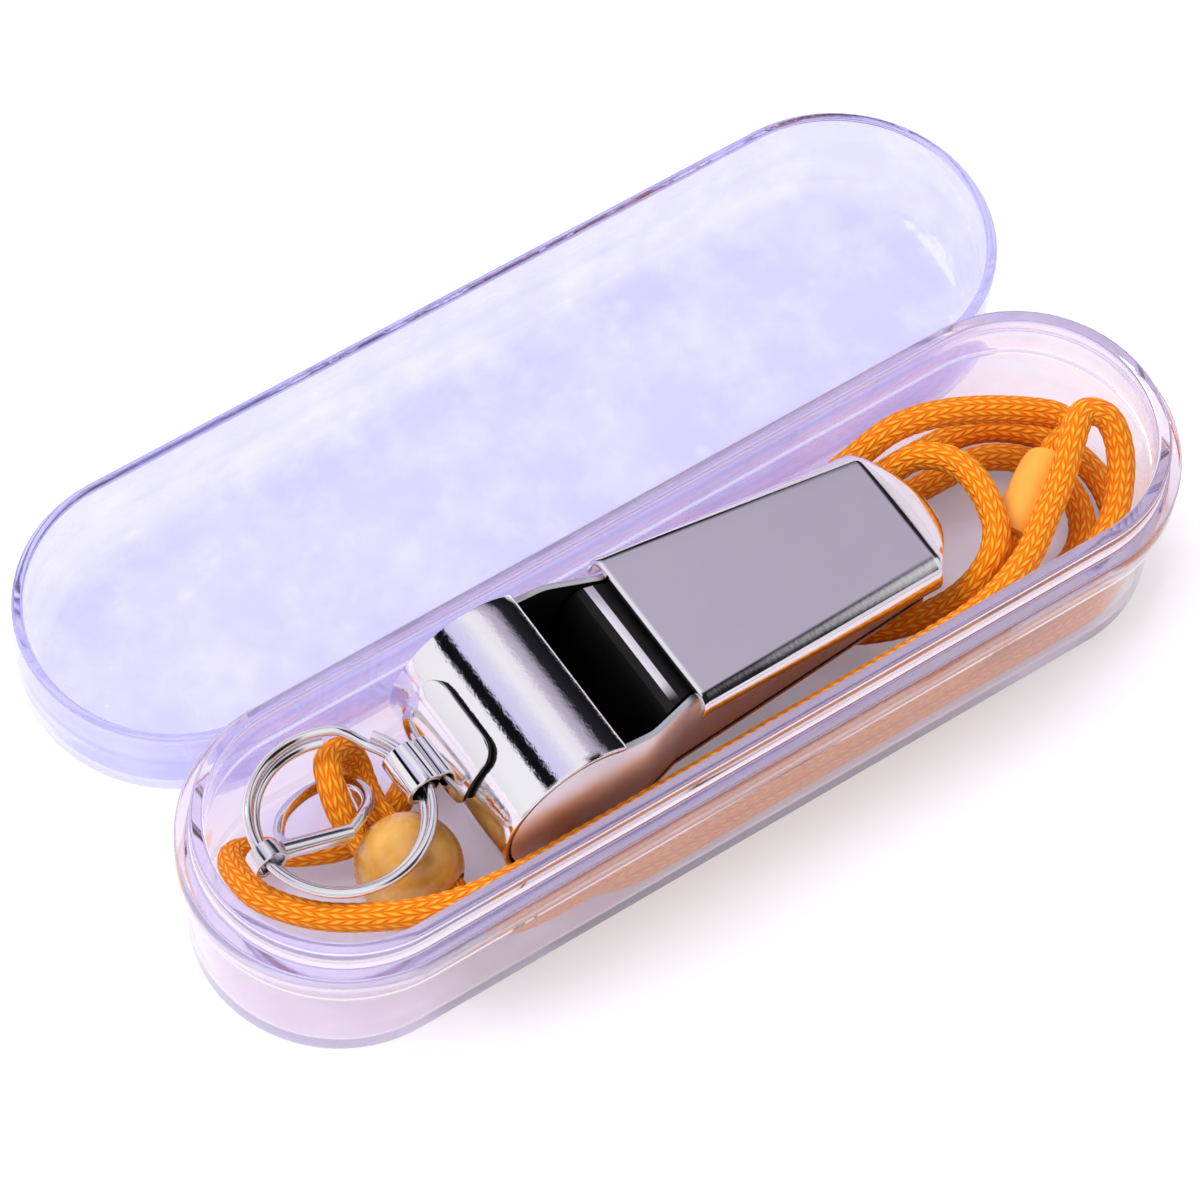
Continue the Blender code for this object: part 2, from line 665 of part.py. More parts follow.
def noose_route():
    """From the sleeve along the near wall, through the bead, round the link's bow and back."""
    right = [strand_place(1, run) for run in (0.57, 0.27, 0, -0.27, -0.55)]
    left = [strand_place(-1, run) for run in (-0.55, -0.27, 0, 0.27, 0.55)]
    return (
        [sleeve_end(-1), sleeve_end(-1, 1.6 * MM), (32.8, -8.2, 7.9), (28.9, -10.4, 6.8), (24, -11.4, 6.65)]
        + [(17, -11.55, 6.65), (5, -11.55, 6.65), (-8, -11.55, 6.65), (-18, -11.55, 6.65)]
        + [(-25.5, -11.4, 6.65), (-29.6, -10.6, 6.9)]
        + right
        + [(-33.4, 6.0, 6.6), (-32.7, 8.7, 5.6), (-32.3, 11.0, 6.6), (-33.6, 11.6, 9.0)]
        + [(-35.8, 10.6, 10.5), (-36.9, 8.3, 10.3), (-37.25, 5.9, 8.7)]
        + left
        + [(-34.7, -10.5, 8.7), (-32.0, -11.45, 10.2), (-27, -11.55, 10.0), (-15, -11.55, 10.0)]
        + [(0, -11.55, 10.0), (15, -11.55, 10.0), (30, -11.55, 10.0), (33, -11.55, 10.0)]
    )


OUTER_ROUTE = [
    (33.3, -11.55, 10.0), (36.3, -11.55, 10.0), (41.5, -11.2, 10.1), (46.8, -9.1, 10.8), (50.2, -6.0, 12.0), (51.9, -3.0, 13.9),
    (51.9, -0.4, 15.5), (49.9, 0.9, 16.1), (47.2, -0.9, 15.6), (44, -3.6, 14.7), (40, -6.3, 14.4),
    (35.4, -9.2, 14.2), (29, -11.2, 13.8), (22, -11.55, 13.4), (8, -11.55, 13.35), (-8, -11.55, 13.35),
    (-20, -11.55, 13.4), (-29, -11.4, 13.6), (-35.5, -10.4, 13.4), (-41, -8.0, 13.0), (-46.2, -3.8, 11.6),
    (-49.2, 1.2, 10.0), (-49.4, 5.6, 8.0), (-48.0, 8.9, 5.4), (-45.4, 9.2, 3.6), (-41.4, 6.6, 3.3),
    (-37, 4.9, 3.3), (-32.5, 5.1, 3.3), (-27.8, 7.6, 3.3), (-23.2, 10.6, 3.3), (-19.1, 11.55, 3.3),
    (-16.3, 11.55, 3.3),
]  # from the near wall round the right end, back along the wall, round the left end to the hank


def inner_route():
    """From the hank up over the right end, back under the mouthpiece and round to the sleeve."""
    return [
        (0.3, 4.55, 3.3), (3, 4.55, 3.3), (7.5, 4.0, 3.3), (12.5, 1.9, 3.3), (18, -1.2, 3.5), (23, -4.4, 4.9), (27, -6.4, 7.3),
        (30.0, -7.4, 10.4), (32.8, -6.8, 12.7), (34.9, -4.9, 13.6), (36.0, -2.5, 13.8), (36.7, 0.3, 13.7),
        (36.8, 3.1, 13.4), (35.9, 5.8, 12.8), (33.6, 8.0, 11.4), (29.8, 8.2, 8.9), (25, 6.6, 7.6), (20, 4.9, 6.9),
        (15, 4.6, 6.7), (11.8, 7.6, 6.65), (14.5, 11.0, 6.65), (19, 11.5, 6.9), (24, 11.55, 8.0),
        (29, 11.5, 10.4), (33.5, 11.4, 12.4), (38, 10.6, 12.6), (43, 8.9, 11.8), (47.5, 6.6, 10.9),
        (50.4, 4.4, 10.2), (50.2, 2.6, 9.95), sleeve_end(1, 1.2 * MM), sleeve_end(1),
    ]


def end_turn(centre_x, first_y, last_y, steps):
    """Points of a hank's end turn from one track to the next, right turns for a positive centre."""
    middle = (first_y + last_y) / 2
    radius = (first_y - last_y) / 2
    side = 1 if centre_x > 0 else -1
    points = []
    for step in range(steps + 1):
        angle = math.pi * step / steps
        x = centre_x + side * abs(radius) * math.sin(angle)
        points.append(Vector((x, middle + radius * math.cos(angle), FLOOR_CORD_Z)))
    return points


def hank_points():
    """The hank under the whistle: flat loops that spiral in from track to track."""
    left, right = HANK_ARC_X
    runs = 4
    points = [Vector((HANK_START_X, HANK_TRACKS[0], FLOOR_CORD_Z))]
    for loop, track in enumerate(HANK_TRACKS[:2]):
        start = HANK_START_X if loop == 0 else left
        points += [Vector((start + (right - start) * s / runs, track, FLOOR_CORD_Z)) for s in range(1, runs)]
        points += end_turn(right, track, -track, 8)
        points += [Vector((right + (left - right) * s / runs, -track, FLOOR_CORD_Z)) for s in range(1, runs)]
        points += end_turn(left, -track, HANK_TRACKS[loop + 1], 8)
    points.append(Vector((HANK_END_X, HANK_TRACKS[2], FLOOR_CORD_Z)))
    return points


def least_gap(points, diameter):
    """The smallest space between stretches of one tube that aren't neighbours."""
    fine = even_points(points, MM)
    away = round(3 * diameter / MM)
    nearest = min(
        (a - b).length for index, a in enumerate(fine) for b in fine[index + away:]
    )
    return nearest - diameter


def cord_joiner(parts):
    """The smooth sleeve that joins the cord's two ends."""
    along = (math.cos(SLEEVE_ANGLE), math.sin(SLEEVE_ANGLE), 0)
    sleeve = cylinder(
        "cord_joiner", SLEEVE_DIAMETER / 2, SLEEVE_LENGTH, SLEEVE_CENTRE, along, 24, parts, None, "orange_sleeve"
    )
    edge = sleeve.modifiers.new("edge", "BEVEL")
    edge.width = 0.7 * MM
    edge.segments = 2
    edge.limit_method = "ANGLE"
    edge.angle_limit = math.radians(40)
    shade_round(sleeve)


def lanyard(parts):
    routes = {"lanyard_noose": noose_route(), "lanyard_outer_loop": OUTER_ROUTE, "lanyard_inner_loop": inner_route()}
    for name, route in routes.items():
        points = [Vector(route[0]) * MM] + smooth_route(route[1:-1], TUBE_STEP, TUBE_TURN) + [Vector(route[-1]) * MM]
        tube(name, points, CORD_DIAMETER, 2, parts, None, "orange_cord")
    turns = hank_points()
    tube("lanyard_hank", turns, CORD_DIAMETER, 1, parts, None, "orange_cord")
    print("least gap of the hank to itself: %.2f mm" % (least_gap(turns, CORD_DIAMETER) / MM))
    cord_joiner(parts)


def empty(name, location, collection, pitch=0.0):
    marker = bpy.data.objects.new(name, None)
    marker.location = location
    marker.rotation_euler = (0, pitch, 0)
    collection.objects.link(marker)
    return marker


def main():
    clear_scene()
    parts = new_collection("whistle_in_case")
    cutters = new_collection("cutters")
    axes = new_collection("joint_axes")
    lid_seat = empty("lid_seat", (LID_SHIFT, CASE_WIDTH + LID_SIDE_GAP, 0), axes)
    barrel_axis = (WHISTLE_X, WHISTLE_Y, WHISTLE_Z)
    whistle_frame = empty("whistle_frame", barrel_axis, axes, WHISTLE_PITCH)
    pea_axis = empty("pea_axis", barrel_axis, axes)
    ring_axis = empty("ring_axis", ring_place(), axes)
    bpy.context.view_layer.update()
    case_base(parts, cutters)
    case_lid(parts, cutters, lid_seat)
    mouthpiece_top(parts, whistle_frame)
    side_plates(parts, whistle_frame)
    barrel_strip(parts, whistle_frame)
    windway_ramp(parts, whistle_frame)
    ring_lug(parts, cutters, whistle_frame)
    pea(parts, pea_axis)
    split_ring(parts, ring_axis)
    cord_link(parts, cutters)
    bead(parts, cutters)
    lanyard(parts)
    bpy.context.view_layer.update()


main()
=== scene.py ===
import json
import math

import bmesh
import bpy
from mathutils import Matrix, Vector


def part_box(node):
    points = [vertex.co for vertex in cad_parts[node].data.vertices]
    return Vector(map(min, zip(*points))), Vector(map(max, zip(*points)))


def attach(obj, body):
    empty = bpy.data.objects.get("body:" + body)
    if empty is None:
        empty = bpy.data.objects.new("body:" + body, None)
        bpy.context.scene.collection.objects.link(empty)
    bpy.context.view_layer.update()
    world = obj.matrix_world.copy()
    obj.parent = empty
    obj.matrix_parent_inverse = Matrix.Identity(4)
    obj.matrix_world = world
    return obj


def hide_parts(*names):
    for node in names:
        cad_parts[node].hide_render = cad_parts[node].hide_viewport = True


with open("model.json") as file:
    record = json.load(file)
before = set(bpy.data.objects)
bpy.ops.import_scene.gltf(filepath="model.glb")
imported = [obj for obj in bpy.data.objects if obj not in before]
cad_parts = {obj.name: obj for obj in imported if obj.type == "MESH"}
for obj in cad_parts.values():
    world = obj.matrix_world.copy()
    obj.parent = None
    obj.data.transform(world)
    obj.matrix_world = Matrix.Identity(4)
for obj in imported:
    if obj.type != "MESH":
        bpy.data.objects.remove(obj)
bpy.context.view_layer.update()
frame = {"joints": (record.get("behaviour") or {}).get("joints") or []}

MM = 0.001
ACROSS = Vector((0, 1, 0))

# Places that the frame gives
JOINTS = {joint["name"]: joint for joint in frame["joints"]}
BARREL_AXIS = Vector(JOINTS["pea_roll"]["pos_m"])
RING_CENTRE = Vector(JOINTS["ring_turn"]["pos_m"])
BASE_LOW, BASE_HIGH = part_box("case_base")
LID_LOW, LID_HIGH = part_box("case_lid")
BEAD_LOW, BEAD_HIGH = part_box("bead")
PEA_LOW, PEA_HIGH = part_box("pea")
SLEEVE_LOW, SLEEVE_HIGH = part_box("cord_joiner")

# Case
CASE_LENGTH = BASE_HIGH.x - BASE_LOW.x
CASE_WIDTH = BASE_HIGH.y - BASE_LOW.y
RIM_HEIGHT = BASE_HIGH.z
LID_HEIGHT = LID_HIGH.z
LID_CENTRE = (LID_LOW + LID_HIGH) / 2
BODY_INSET = 1.3 * MM
BODY_HEIGHT = 13.8 * MM
COLLAR_TOP = 17.9 * MM
NECK_INSET = 1.4 * MM
CAVITY_INSET = 2.9 * MM
CASE_FLOOR = 1.5 * MM
BODY_EDGE_RADIUS = 1.1 * MM
LID_WALL = 1.15 * MM
LID_FLOOR = 1.3 * MM
LID_EDGE_RADIUS = 4.6 * MM
RIM_RADIUS = 0.35 * MM
FLOOR_HUB = 0.5 * MM

# Whistle, in its own frame: X to the tip, Z up from the barrel's axis
WHISTLE_PITCH = math.radians(7.5)
BARREL_RADIUS = 9.25 * MM
BARREL_WIDTH = 20.4 * MM
SHEET = 0.6 * MM
SIDE_SHEET = 0.7 * MM
SIDE_RECESS = 0.1 * MM
SOLDER_GAP = 0.3 * MM
SHEET_EDGE = 0.12 * MM
SIDE_EDGE = 0.1 * MM
WELD = 0.01 * MM
FINE_WELD = 0.001 * MM
PLATE_HEIGHT = 8.4 * MM
PLATE_START = 13.3 * MM
PLATE_LENGTH = 31.0 * MM
PLATE_END = PLATE_START + PLATE_LENGTH
PLATE_REAR_WIDTH = 18.9 * MM
PLATE_TIP_WIDTH = 16.3 * MM
FLANGE_DEPTH = 1.5 * MM
FOLD_RADIUS = 0.8 * MM
LIP_REACH = 4.45 * MM
LIP_DROP = 2.1 * MM
MOUTH_HEIGHT = 6.75 * MM
WINDOW_LENGTH = 9.6 * MM
UNDERSIDE_ANGLE = math.radians(235)
BLADE_ANGLE = -math.asin((PLATE_START - WINDOW_LENGTH) / BARREL_RADIUS)
BEND_START = 7.6 * MM
BEND_EASE = 0.7 * MM
RAMP_REAR = 11.4 * MM
RAMP_FLAT = 4.0 * MM
WINDWAY = 1.0 * MM
DENT_WAVES = (1900, 2300, 2100)
DENT_DEPTH = 0.012

# Ring lug
LUG_TOP_ANGLE = math.radians(46.5)
LUG_EYE_ANGLE = math.radians(98.9)
LUG_WIDTH = 10.9 * MM
LUG_OFFSET = 1.55 * MM
LUG_CORNER = 2.2 * MM
EYE_LENGTH = 4.8 * MM
EYE_WALL = 0.55 * MM
EYE_CLEARANCE = 0.45 * MM
EYE_EDGE = 0.14 * MM

# Split ring and link
RING_WIRE = 1.05 * MM
RING_RADIUS = 9.05 * MM
COIL_STEP_IN = 0.7 * MM
COIL_STEP_DOWN = 1.0 * MM
RING_START = math.radians(69)
RING_TURN = math.radians(688)
RING_CLIMB = (math.radians(326), math.radians(354))
RING_WIRES = math.hypot(COIL_STEP_IN, COIL_STEP_DOWN) + RING_WIRE
HEAD_CLEARANCE = 0.35 * MM
HEAD_WALL = 0.4 * MM
HEAD_LENGTH = 2.0 * MM
HEAD_SHIFT = -0.3 * MM
ROD_DROP = 0.2 * MM
ROD_DIAMETER = 1.9 * MM
BOW_DIAMETER = 1.3 * MM
BOW_ROUTE = [
    (-0.653, 0.177, -0.239), (-0.455, 0.453, -0.383), (-0.112, 0.641, -0.560), (0.230, 0.696, -0.670),
    (0.463, 0.608, -0.659), (0.551, 0.409, -0.582), (0.485, 0.166, -0.460), (0.275, -0.011, -0.350),
    (0.054, -0.121, -0.305),
]  # from the ring's centre, in ring radii

# Bead and lanyard
CORD_DIAMETER = 3.0 * MM
CORD_GAP = 0.3 * MM
BEAD_DIAMETER = BEAD_HIGH.z - BEAD_LOW.z
BORE_ANGLE = math.radians(8)
BORE_ALONG = Vector((math.sin(BORE_ANGLE), -math.cos(BORE_ANGLE), 0))
BORE_ACROSS = Vector((math.cos(BORE_ANGLE), math.sin(BORE_ANGLE), 0))
STRAND_SPACING = 3.4 * MM
BORE_CLEARANCE = 0.35 * MM
MOUTH_EDGE = 0.2 * MM
BEAD_FROM_RING = (4.59 * MM, -5.7 * MM)
BEAD_CENTRE = Vector((
    RING_CENTRE.x + BEAD_FROM_RING[0],
    RING_CENTRE.y + BEAD_FROM_RING[1],
    BEAD_HIGH.z - BEAD_DIAMETER / 2,
))
SLEEVE_DIAMETER = SLEEVE_HIGH.z - SLEEVE_LOW.z
SLEEVE_LENGTH = 10.5 * MM
SLEEVE_CENTRE = (SLEEVE_LOW + SLEEVE_HIGH) / 2
SLEEVE_ANGLE = math.radians(32)
SLEEVE_ALONG = Vector((math.cos(SLEEVE_ANGLE), math.sin(SLEEVE_ANGLE), 0))
HANK_TRACKS = (11.55 * MM, 8.05 * MM, 4.55 * MM)
HANK_ARC_X = (-13.5 * MM, 41.2 * MM)
HANK_START_X = -16 * MM
HANK_END_X = 0.0
FLOOR_CORD_Z = CASE_FLOOR + CORD_GAP + CORD_DIAMETER / 2
BRAID_PITCH = 1.35 * MM
BRAID_COLUMNS = 7
BRAID_SLANT = 1.7
BRAID_RELIEF = 0.09 * MM
YARN_CROWN = 2.2
YARN_SIDE = 3.0
CORD_SIDES = 28
CORD_STEP = 0.4 * MM

# Camera, fitted to the photograph's frame of 1200 by 1200 pixels
CAMERA_TARGET = Vector((-2.0, 12.12, 9.2)) * MM
CAMERA_TURN = math.radians(40.42)
CAMERA_ELEVATION = math.radians(59.26)
CAMERA_ROLL = -0.1233
CAMERA_DISTANCE = 576.7 * MM
SENSOR = 36.0
PHOTO_PIXELS = 1200
FOCAL_PIXELS = 5697.8
CAMERA_LENS = FOCAL_PIXELS / PHOTO_PIXELS * SENSOR


# Camera


def make_camera():
    look = Vector((
        math.sin(CAMERA_TURN) * math.cos(CAMERA_ELEVATION),
        math.cos(CAMERA_TURN) * math.cos(CAMERA_ELEVATION),
        -math.sin(CAMERA_ELEVATION),
    ))
    right = Vector((math.cos(CAMERA_TURN), -math.sin(CAMERA_TURN), 0))
    up = right.cross(look)
    across = right * math.cos(CAMERA_ROLL) - up * math.sin(CAMERA_ROLL)
    upward = right * math.sin(CAMERA_ROLL) + up * math.cos(CAMERA_ROLL)
    turn = Matrix((across, upward, -look)).transposed().to_4x4()
    lens = bpy.data.cameras.new("camera")
    lens.lens = CAMERA_LENS
    lens.sensor_width = SENSOR
    lens.clip_start = 0.01
    lens.clip_end = 20
    camera = bpy.data.objects.new("camera", lens)
    camera.matrix_world = Matrix.Translation(CAMERA_TARGET - look * CAMERA_DISTANCE) @ turn
    bpy.context.scene.collection.objects.link(camera)
    bpy.context.scene.camera = camera


# Shader nodes


def add_node(tree, kind, inputs=None, **settings):
    """A node with its settings, and its inputs set from values or linked from sockets."""
    node = tree.nodes.new(kind)
    for name, value in settings.items():
        setattr(node, name, value)
    for name, value in (inputs or {}).items():
        if isinstance(value, bpy.types.NodeSocket):
            tree.links.new(value, node.inputs[name])
        else:
            node.inputs[name].default_value = value
    return node


def calculate(tree, operation, *values):
    return add_node(tree, "ShaderNodeMath", dict(enumerate(values)), operation=operation).outputs[0]


def colour_ramp(tree, value, stops):
    node = add_node(tree, "ShaderNodeValToRGB", {"Fac": value})
    elements = node.color_ramp.elements
    for element, (position, colour) in ((elements[1], stops[-1]), (elements[0], stops[0])):
        element.position = position
        element.color = (*colour, 1)
    for position, colour in stops[1:-1]:
        elements.new(position).color = (*colour, 1)
    return node.outputs["Color"]


def mix_colour(tree, factor, first, second):
    values = {"Factor": factor, 6: first, 7: second}
    return add_node(tree, "ShaderNodeMix", values, data_type="RGBA").outputs[2]


def object_place(tree):
    return add_node(tree, "ShaderNodeTexCoord").outputs["Object"]


def noise(tree, place, scale, detail=2.0, roughness=0.5):
    values = {"Vector": place, "Scale": scale, "Detail": detail, "Roughness": roughness}
    return add_node(tree, "ShaderNodeTexNoise", values).outputs["Fac"]


def spread(tree, value, low, high, start=0.0, end=1.0):
    """From low to high while the value goes from start to end."""
    return add_node(tree, "ShaderNodeMapRange", {
        "Value": value, "From Min": start, "From Max": end, "To Min": low, "To Max": high,
    }).outputs[0]


def between(tree, value, nothing, full):
    """From 0 where the value is at nothing to 1 where it is at full."""
    return spread(tree, value, 0.0, 1.0, nothing, full)


def new_group(name, inputs, outputs):
    """An empty shader group with float inputs, their defaults, and named outputs."""
    group = bpy.data.node_groups.new(name, "ShaderNodeTree")
    for socket, value in inputs.items():
        made = group.interface.new_socket(socket, in_out="INPUT", socket_type="NodeSocketFloat")
        made.default_value = value
    for socket in outputs:
        group.interface.new_socket(socket, in_out="OUTPUT", socket_type="NodeSocketFloat")
    return group, group.nodes.new("NodeGroupInput"), group.nodes.new("NodeGroupOutput")


def use_group(tree, group, **values):
    node = tree.nodes.new("ShaderNodeGroup")
    node.node_tree = group
    for name, value in values.items():
        node.inputs[name.replace("_", " ").capitalize()].default_value = value
    return node


def plating_wear_group():
    """Fine rub marks, pits and smears of handled plating."""
    group, given, made = new_group(
        "plating wear",
        {"Rub scale": 900.0, "Pit scale": 2600.0, "Smear scale": 120.0, "Grain": 0.0},
        ["Height", "Smear"],
    )
    place = object_place(group)
    mapping = add_node(group, "ShaderNodeMapping", {"Vector": place, "Scale": (0.12, 1.0, 1.0)})
    stretched = mapping.outputs[0]
    rub = noise(group, stretched, given.outputs["Rub scale"], 4.0, 0.65)
    pit = noise(group, place, given.outputs["Pit scale"], 2.0, 0.5)
    smear = noise(group, place, given.outputs["Smear scale"], 3.0, 0.6)
    pits = calculate(group, "SUBTRACT", 1.0, calculate(group, "SMOOTH_MIN", pit, 0.38, 0.06))
    rubbed = calculate(group, "MULTIPLY", rub, 0.35)
    height = calculate(group, "ADD", rubbed, calculate(group, "MULTIPLY", pits, 0.4))
    grains = noise(group, place, 1900.0, 3.0, 0.6)
    grain = calculate(group, "MULTIPLY", grains, given.outputs["Grain"])
    group.links.new(calculate(group, "ADD", height, grain), made.inputs["Height"])
    group.links.new(smear, made.inputs["Smear"])
    return group


def moulding_group():
    """The slow waves and small dimples of moulded clear plastic, with masks for pale painted light patches
    and painted bright glints that stand in for light refracted through it.
    """
    group, given, made = new_group(
        "moulding waves",
        {"Wave scale": 90.0, "Dimple scale": 260.0, "Dimple depth": 0.5},
        ["Height", "Haze", "Painted light patch", "Painted glint"]
    )
    place = object_place(group)
    wave = noise(group, place, given.outputs["Wave scale"], 1.5, 0.4)
    cells = add_node(group, "ShaderNodeTexVoronoi", {
        "Vector": place, "Scale": given.outputs["Dimple scale"],
    }, feature="SMOOTH_F1")
    shown = between(group, noise(group, place, 120.0, 5.0, 0.65), 0.42, 0.6)
    pebble = between(group, cells.outputs["Distance"], 0.12, 0.5)
    height = add_node(group, "ShaderNodeSeparateXYZ", {"Vector": place}).outputs["Z"]
    flat = between(group, height, 3 * MM, 1.5 * MM)
    depth = calculate(group, "MULTIPLY", flat, given.outputs["Dimple depth"])
    dimple = calculate(group, "MULTIPLY", calculate(group, "MULTIPLY", pebble, shown), depth)
    # Painted light: this mask paints paler colour where the dimples show, standing in for light refracted
    # through the pebbled plastic.
    cloud = calculate(group, "ADD", calculate(group, "MULTIPLY", pebble, 0.6), 0.4)
    cloud = calculate(group, "MULTIPLY", shown, cloud)
    group.links.new(calculate(group, "ADD", wave, dimple), made.inputs["Height"])
    group.links.new(noise(group, place, 420.0, 3.0, 0.6), made.inputs["Haze"])
    group.links.new(cloud, made.inputs["Painted light patch"])
    # Painted light: small bright spots, only on the low floor, painted as glints of refracted light.
    spots = add_node(group, "ShaderNodeTexVoronoi", {"Vector": place, "Scale": 210.0}).outputs["Distance"]
    spot = between(group, spots, 0.26, 0.08)
    few = between(group, noise(group, place, 170.0, 2.0), 0.54, 0.62)
    fleck = calculate(group, "MULTIPLY", calculate(group, "MULTIPLY", spot, few), flat)
    group.links.new(calculate(group, "MULTIPLY", fleck, 0.65), made.inputs["Painted glint"])
    return group


def new_material(name):
    material = bpy.data.materials.new(name)
    material.use_nodes = True
    tree = material.node_tree
    return material, tree, tree.nodes["Principled BSDF"], tree.nodes["Material Output"]


def add_bump(tree, shader, height, distance):
    bump = add_node(tree, "ShaderNodeBump", {"Height": height, "Distance": distance, "Strength": 1.0})
    tree.links.new(bump.outputs[0], shader.inputs["Normal"])


def clear_plastic(name, waves, tint, painted_light_tint, dimple_depth, wave_height, haze_range):
    """Clear moulded plastic that lets the light through to what is under it. Its colour is paler in painted
    light patches and has painted bright glints.
    """
    material, tree, shader, output = new_material(name)
    moulding = use_group(tree, waves, wave_scale=90.0, dimple_scale=330.0, dimple_depth=dimple_depth)
    # Painted light: the paler tint is painted into the patches in place of refracted brightness.
    colour = mix_colour(tree, moulding.outputs["Painted light patch"], (*tint, 1), (*painted_light_tint, 1))
    # Painted glints: near-white flecks mixed into the plastic's colour.
    colour = mix_colour(tree, moulding.outputs["Painted glint"], colour, (0.95, 0.95, 1.0, 1))
    tree.links.new(colour, shader.inputs["Base Color"])
    tree.links.new(spread(tree, moulding.outputs["Haze"], *haze_range), shader.inputs["Roughness"])
    shader.inputs["Transmission Weight"].default_value = 1.0
    shader.inputs["IOR"].default_value = 1.49
    add_bump(tree, shader, moulding.outputs["Height"], wave_height)
    clear = add_node(tree, "ShaderNodeBsdfTransparent", {"Color": (0.93, 0.925, 0.99, 1)})
    path = add_node(tree, "ShaderNodeLightPath")
    unseen = calculate(tree, "MAXIMUM", path.outputs["Is Shadow Ray"], path.outputs["Is Diffuse Ray"])
    spent = calculate(tree, "GREATER_THAN", path.outputs["Ray Depth"], 4.5)
    unseen = calculate(tree, "MAXIMUM", unseen, spent)
    mix = add_node(tree, "ShaderNodeMixShader", {0: unseen})
    tree.links.new(shader.outputs[0], mix.inputs[1])
    tree.links.new(clear.outputs[0], mix.inputs[2])
    tree.links.new(mix.outputs[0], output.inputs["Surface"])
    deep = add_node(tree, "ShaderNodeVolumeAbsorption", {"Color": (0.70, 0.65, 0.95, 1), "Density": 30.0})
    tree.links.new(deep.outputs[0], output.inputs["Volume"])
    return material


def plated(name, wear, bright, dull, smooth, rough, relief, grain=0.0):
    """Bright plating, a little duller where it is smeared or rubbed, with its own amount of grain."""
    material, tree, shader, _ = new_material(name)
    marks = use_group(tree, wear, rub_scale=900.0, pit_scale=2600.0, smear_scale=120.0, grain=grain)
    colour = mix_colour(tree, marks.outputs["Smear"], (*bright, 1), (*dull, 1))
    tree.links.new(colour, shader.inputs["Base Color"])
    polish = spread(tree, marks.outputs["Smear"], smooth, rough, 0.35, 0.75)
    tree.links.new(polish, shader.inputs["Roughness"])
    shader.inputs["Metallic"].default_value = 1.0
    add_bump(tree, shader, marks.outputs["Height"], relief)
    return material


def braided_cord_material():
    """Columns of slanted yarn flecks, each leaning the other way from its neighbour, with painted shade in
    the valleys between the yarns and painted highlights on their crowns.
    """
    material, tree, shader, _ = new_material("orange_braid")
    around = add_node(tree, "ShaderNodeUVMap", uv_map="braid").outputs[0]
    parts = add_node(tree, "ShaderNodeSeparateXYZ", {"Vector": around})
    across = calculate(tree, "FRACT", calculate(tree, "MULTIPLY", parts.outputs["X"], float(BRAID_COLUMNS)))
    lean = calculate(tree, "ABSOLUTE", calculate(tree, "SUBTRACT", across, 0.5))
    along = calculate(tree, "ADD", parts.outputs["Y"], calculate(tree, "MULTIPLY", lean, BRAID_SLANT))
    fleck = calculate(tree, "ABSOLUTE", calculate(tree, "SUBTRACT", calculate(tree, "FRACT", along), 0.5))
    fall = calculate(tree, "POWER", calculate(tree, "MULTIPLY", fleck, 2.0), YARN_CROWN)
    crown = calculate(tree, "SUBTRACT", 1.0, fall)
    edge = calculate(tree, "SUBTRACT", calculate(tree, "MULTIPLY", lean, 4.0), 1.0)
    side_fall = calculate(tree, "POWER", calculate(tree, "ABSOLUTE", edge), YARN_SIDE)
    round_side = calculate(tree, "SUBTRACT", 1.0, side_fall)
    yarn = calculate(tree, "MULTIPLY", crown, calculate(tree, "MAXIMUM", round_side, 0.0))
    place = object_place(tree)
    fibre_place = add_node(
        tree, "ShaderNodeCombineXYZ", {"X": calculate(tree, "MULTIPLY", along, 9.0), "Y": across, "Z": 0.0}
    )
    fibre = noise(tree, fibre_place.outputs[0], 6.0, 3.0, 0.6)
    patch = noise(tree, place, 260.0, 2.0, 0.5)
    # Painted shade: the darker valley colour darkens the creases between the yarns; the body colour is the
    # yarn's own.
    valley_shade = mix_colour(tree, patch, (0.90, 0.15, 0.002, 1), (1.0, 0.205, 0.004, 1))
    body = mix_colour(tree, patch, (1.0, 0.30, 0.010, 1), (1.0, 0.38, 0.018, 1))
    colour = mix_colour(tree, yarn, valley_shade, body)
    # Painted highlight: a paler orange glint painted on the yarn crowns, broken up by the fibre noise.
    glint = calculate(tree, "MULTIPLY", between(tree, yarn, 0.72, 1.0), fibre)
    colour = mix_colour(tree, glint, colour, (1.0, 0.58, 0.08, 1))
    tree.links.new(colour, shader.inputs["Base Color"])
    shader.inputs["Roughness"].default_value = 0.62
    shader.inputs["Sheen Weight"].default_value = 0.05
    shader.inputs["Sheen Roughness"].default_value = 0.4
    shader.inputs["Sheen Tint"].default_value = (1.0, 0.62, 0.25, 1)
    shader.inputs["Specular IOR Level"].default_value = 0.14
    height = calculate(tree, "ADD", yarn, calculate(tree, "MULTIPLY", fibre, 0.18))
    add_bump(tree, shader, height, 0.2 * MM)
    return material


def bead_material():
    """Amber resin with soft darker clouds and a polished skin."""
    material, tree, shader, _ = new_material("amber_bead")
    place = object_place(tree)
    cloud = noise(tree, place, 190.0, 3.0, 0.55)
    ambers = [(0.3, (0.50, 0.235, 0.04)), (0.55, (0.71, 0.37, 0.07)), (0.75, (0.84, 0.50, 0.13))]
    tree.links.new(colour_ramp(tree, cloud, ambers), shader.inputs["Base Color"])
    tree.links.new(spread(tree, noise(tree, place, 900.0), 0.16, 0.38), shader.inputs["Roughness"])
    shader.inputs["Subsurface Weight"].default_value = 0.25
    shader.inputs["Subsurface Radius"].default_value = (0.9, 0.45, 0.15)
    shader.inputs["Subsurface Scale"].default_value = 1.5 * MM
    shader.inputs["Coat Weight"].default_value = 0.35
    add_bump(tree, shader, noise(tree, place, 520.0, 2.0), 0.06 * MM)
    return material


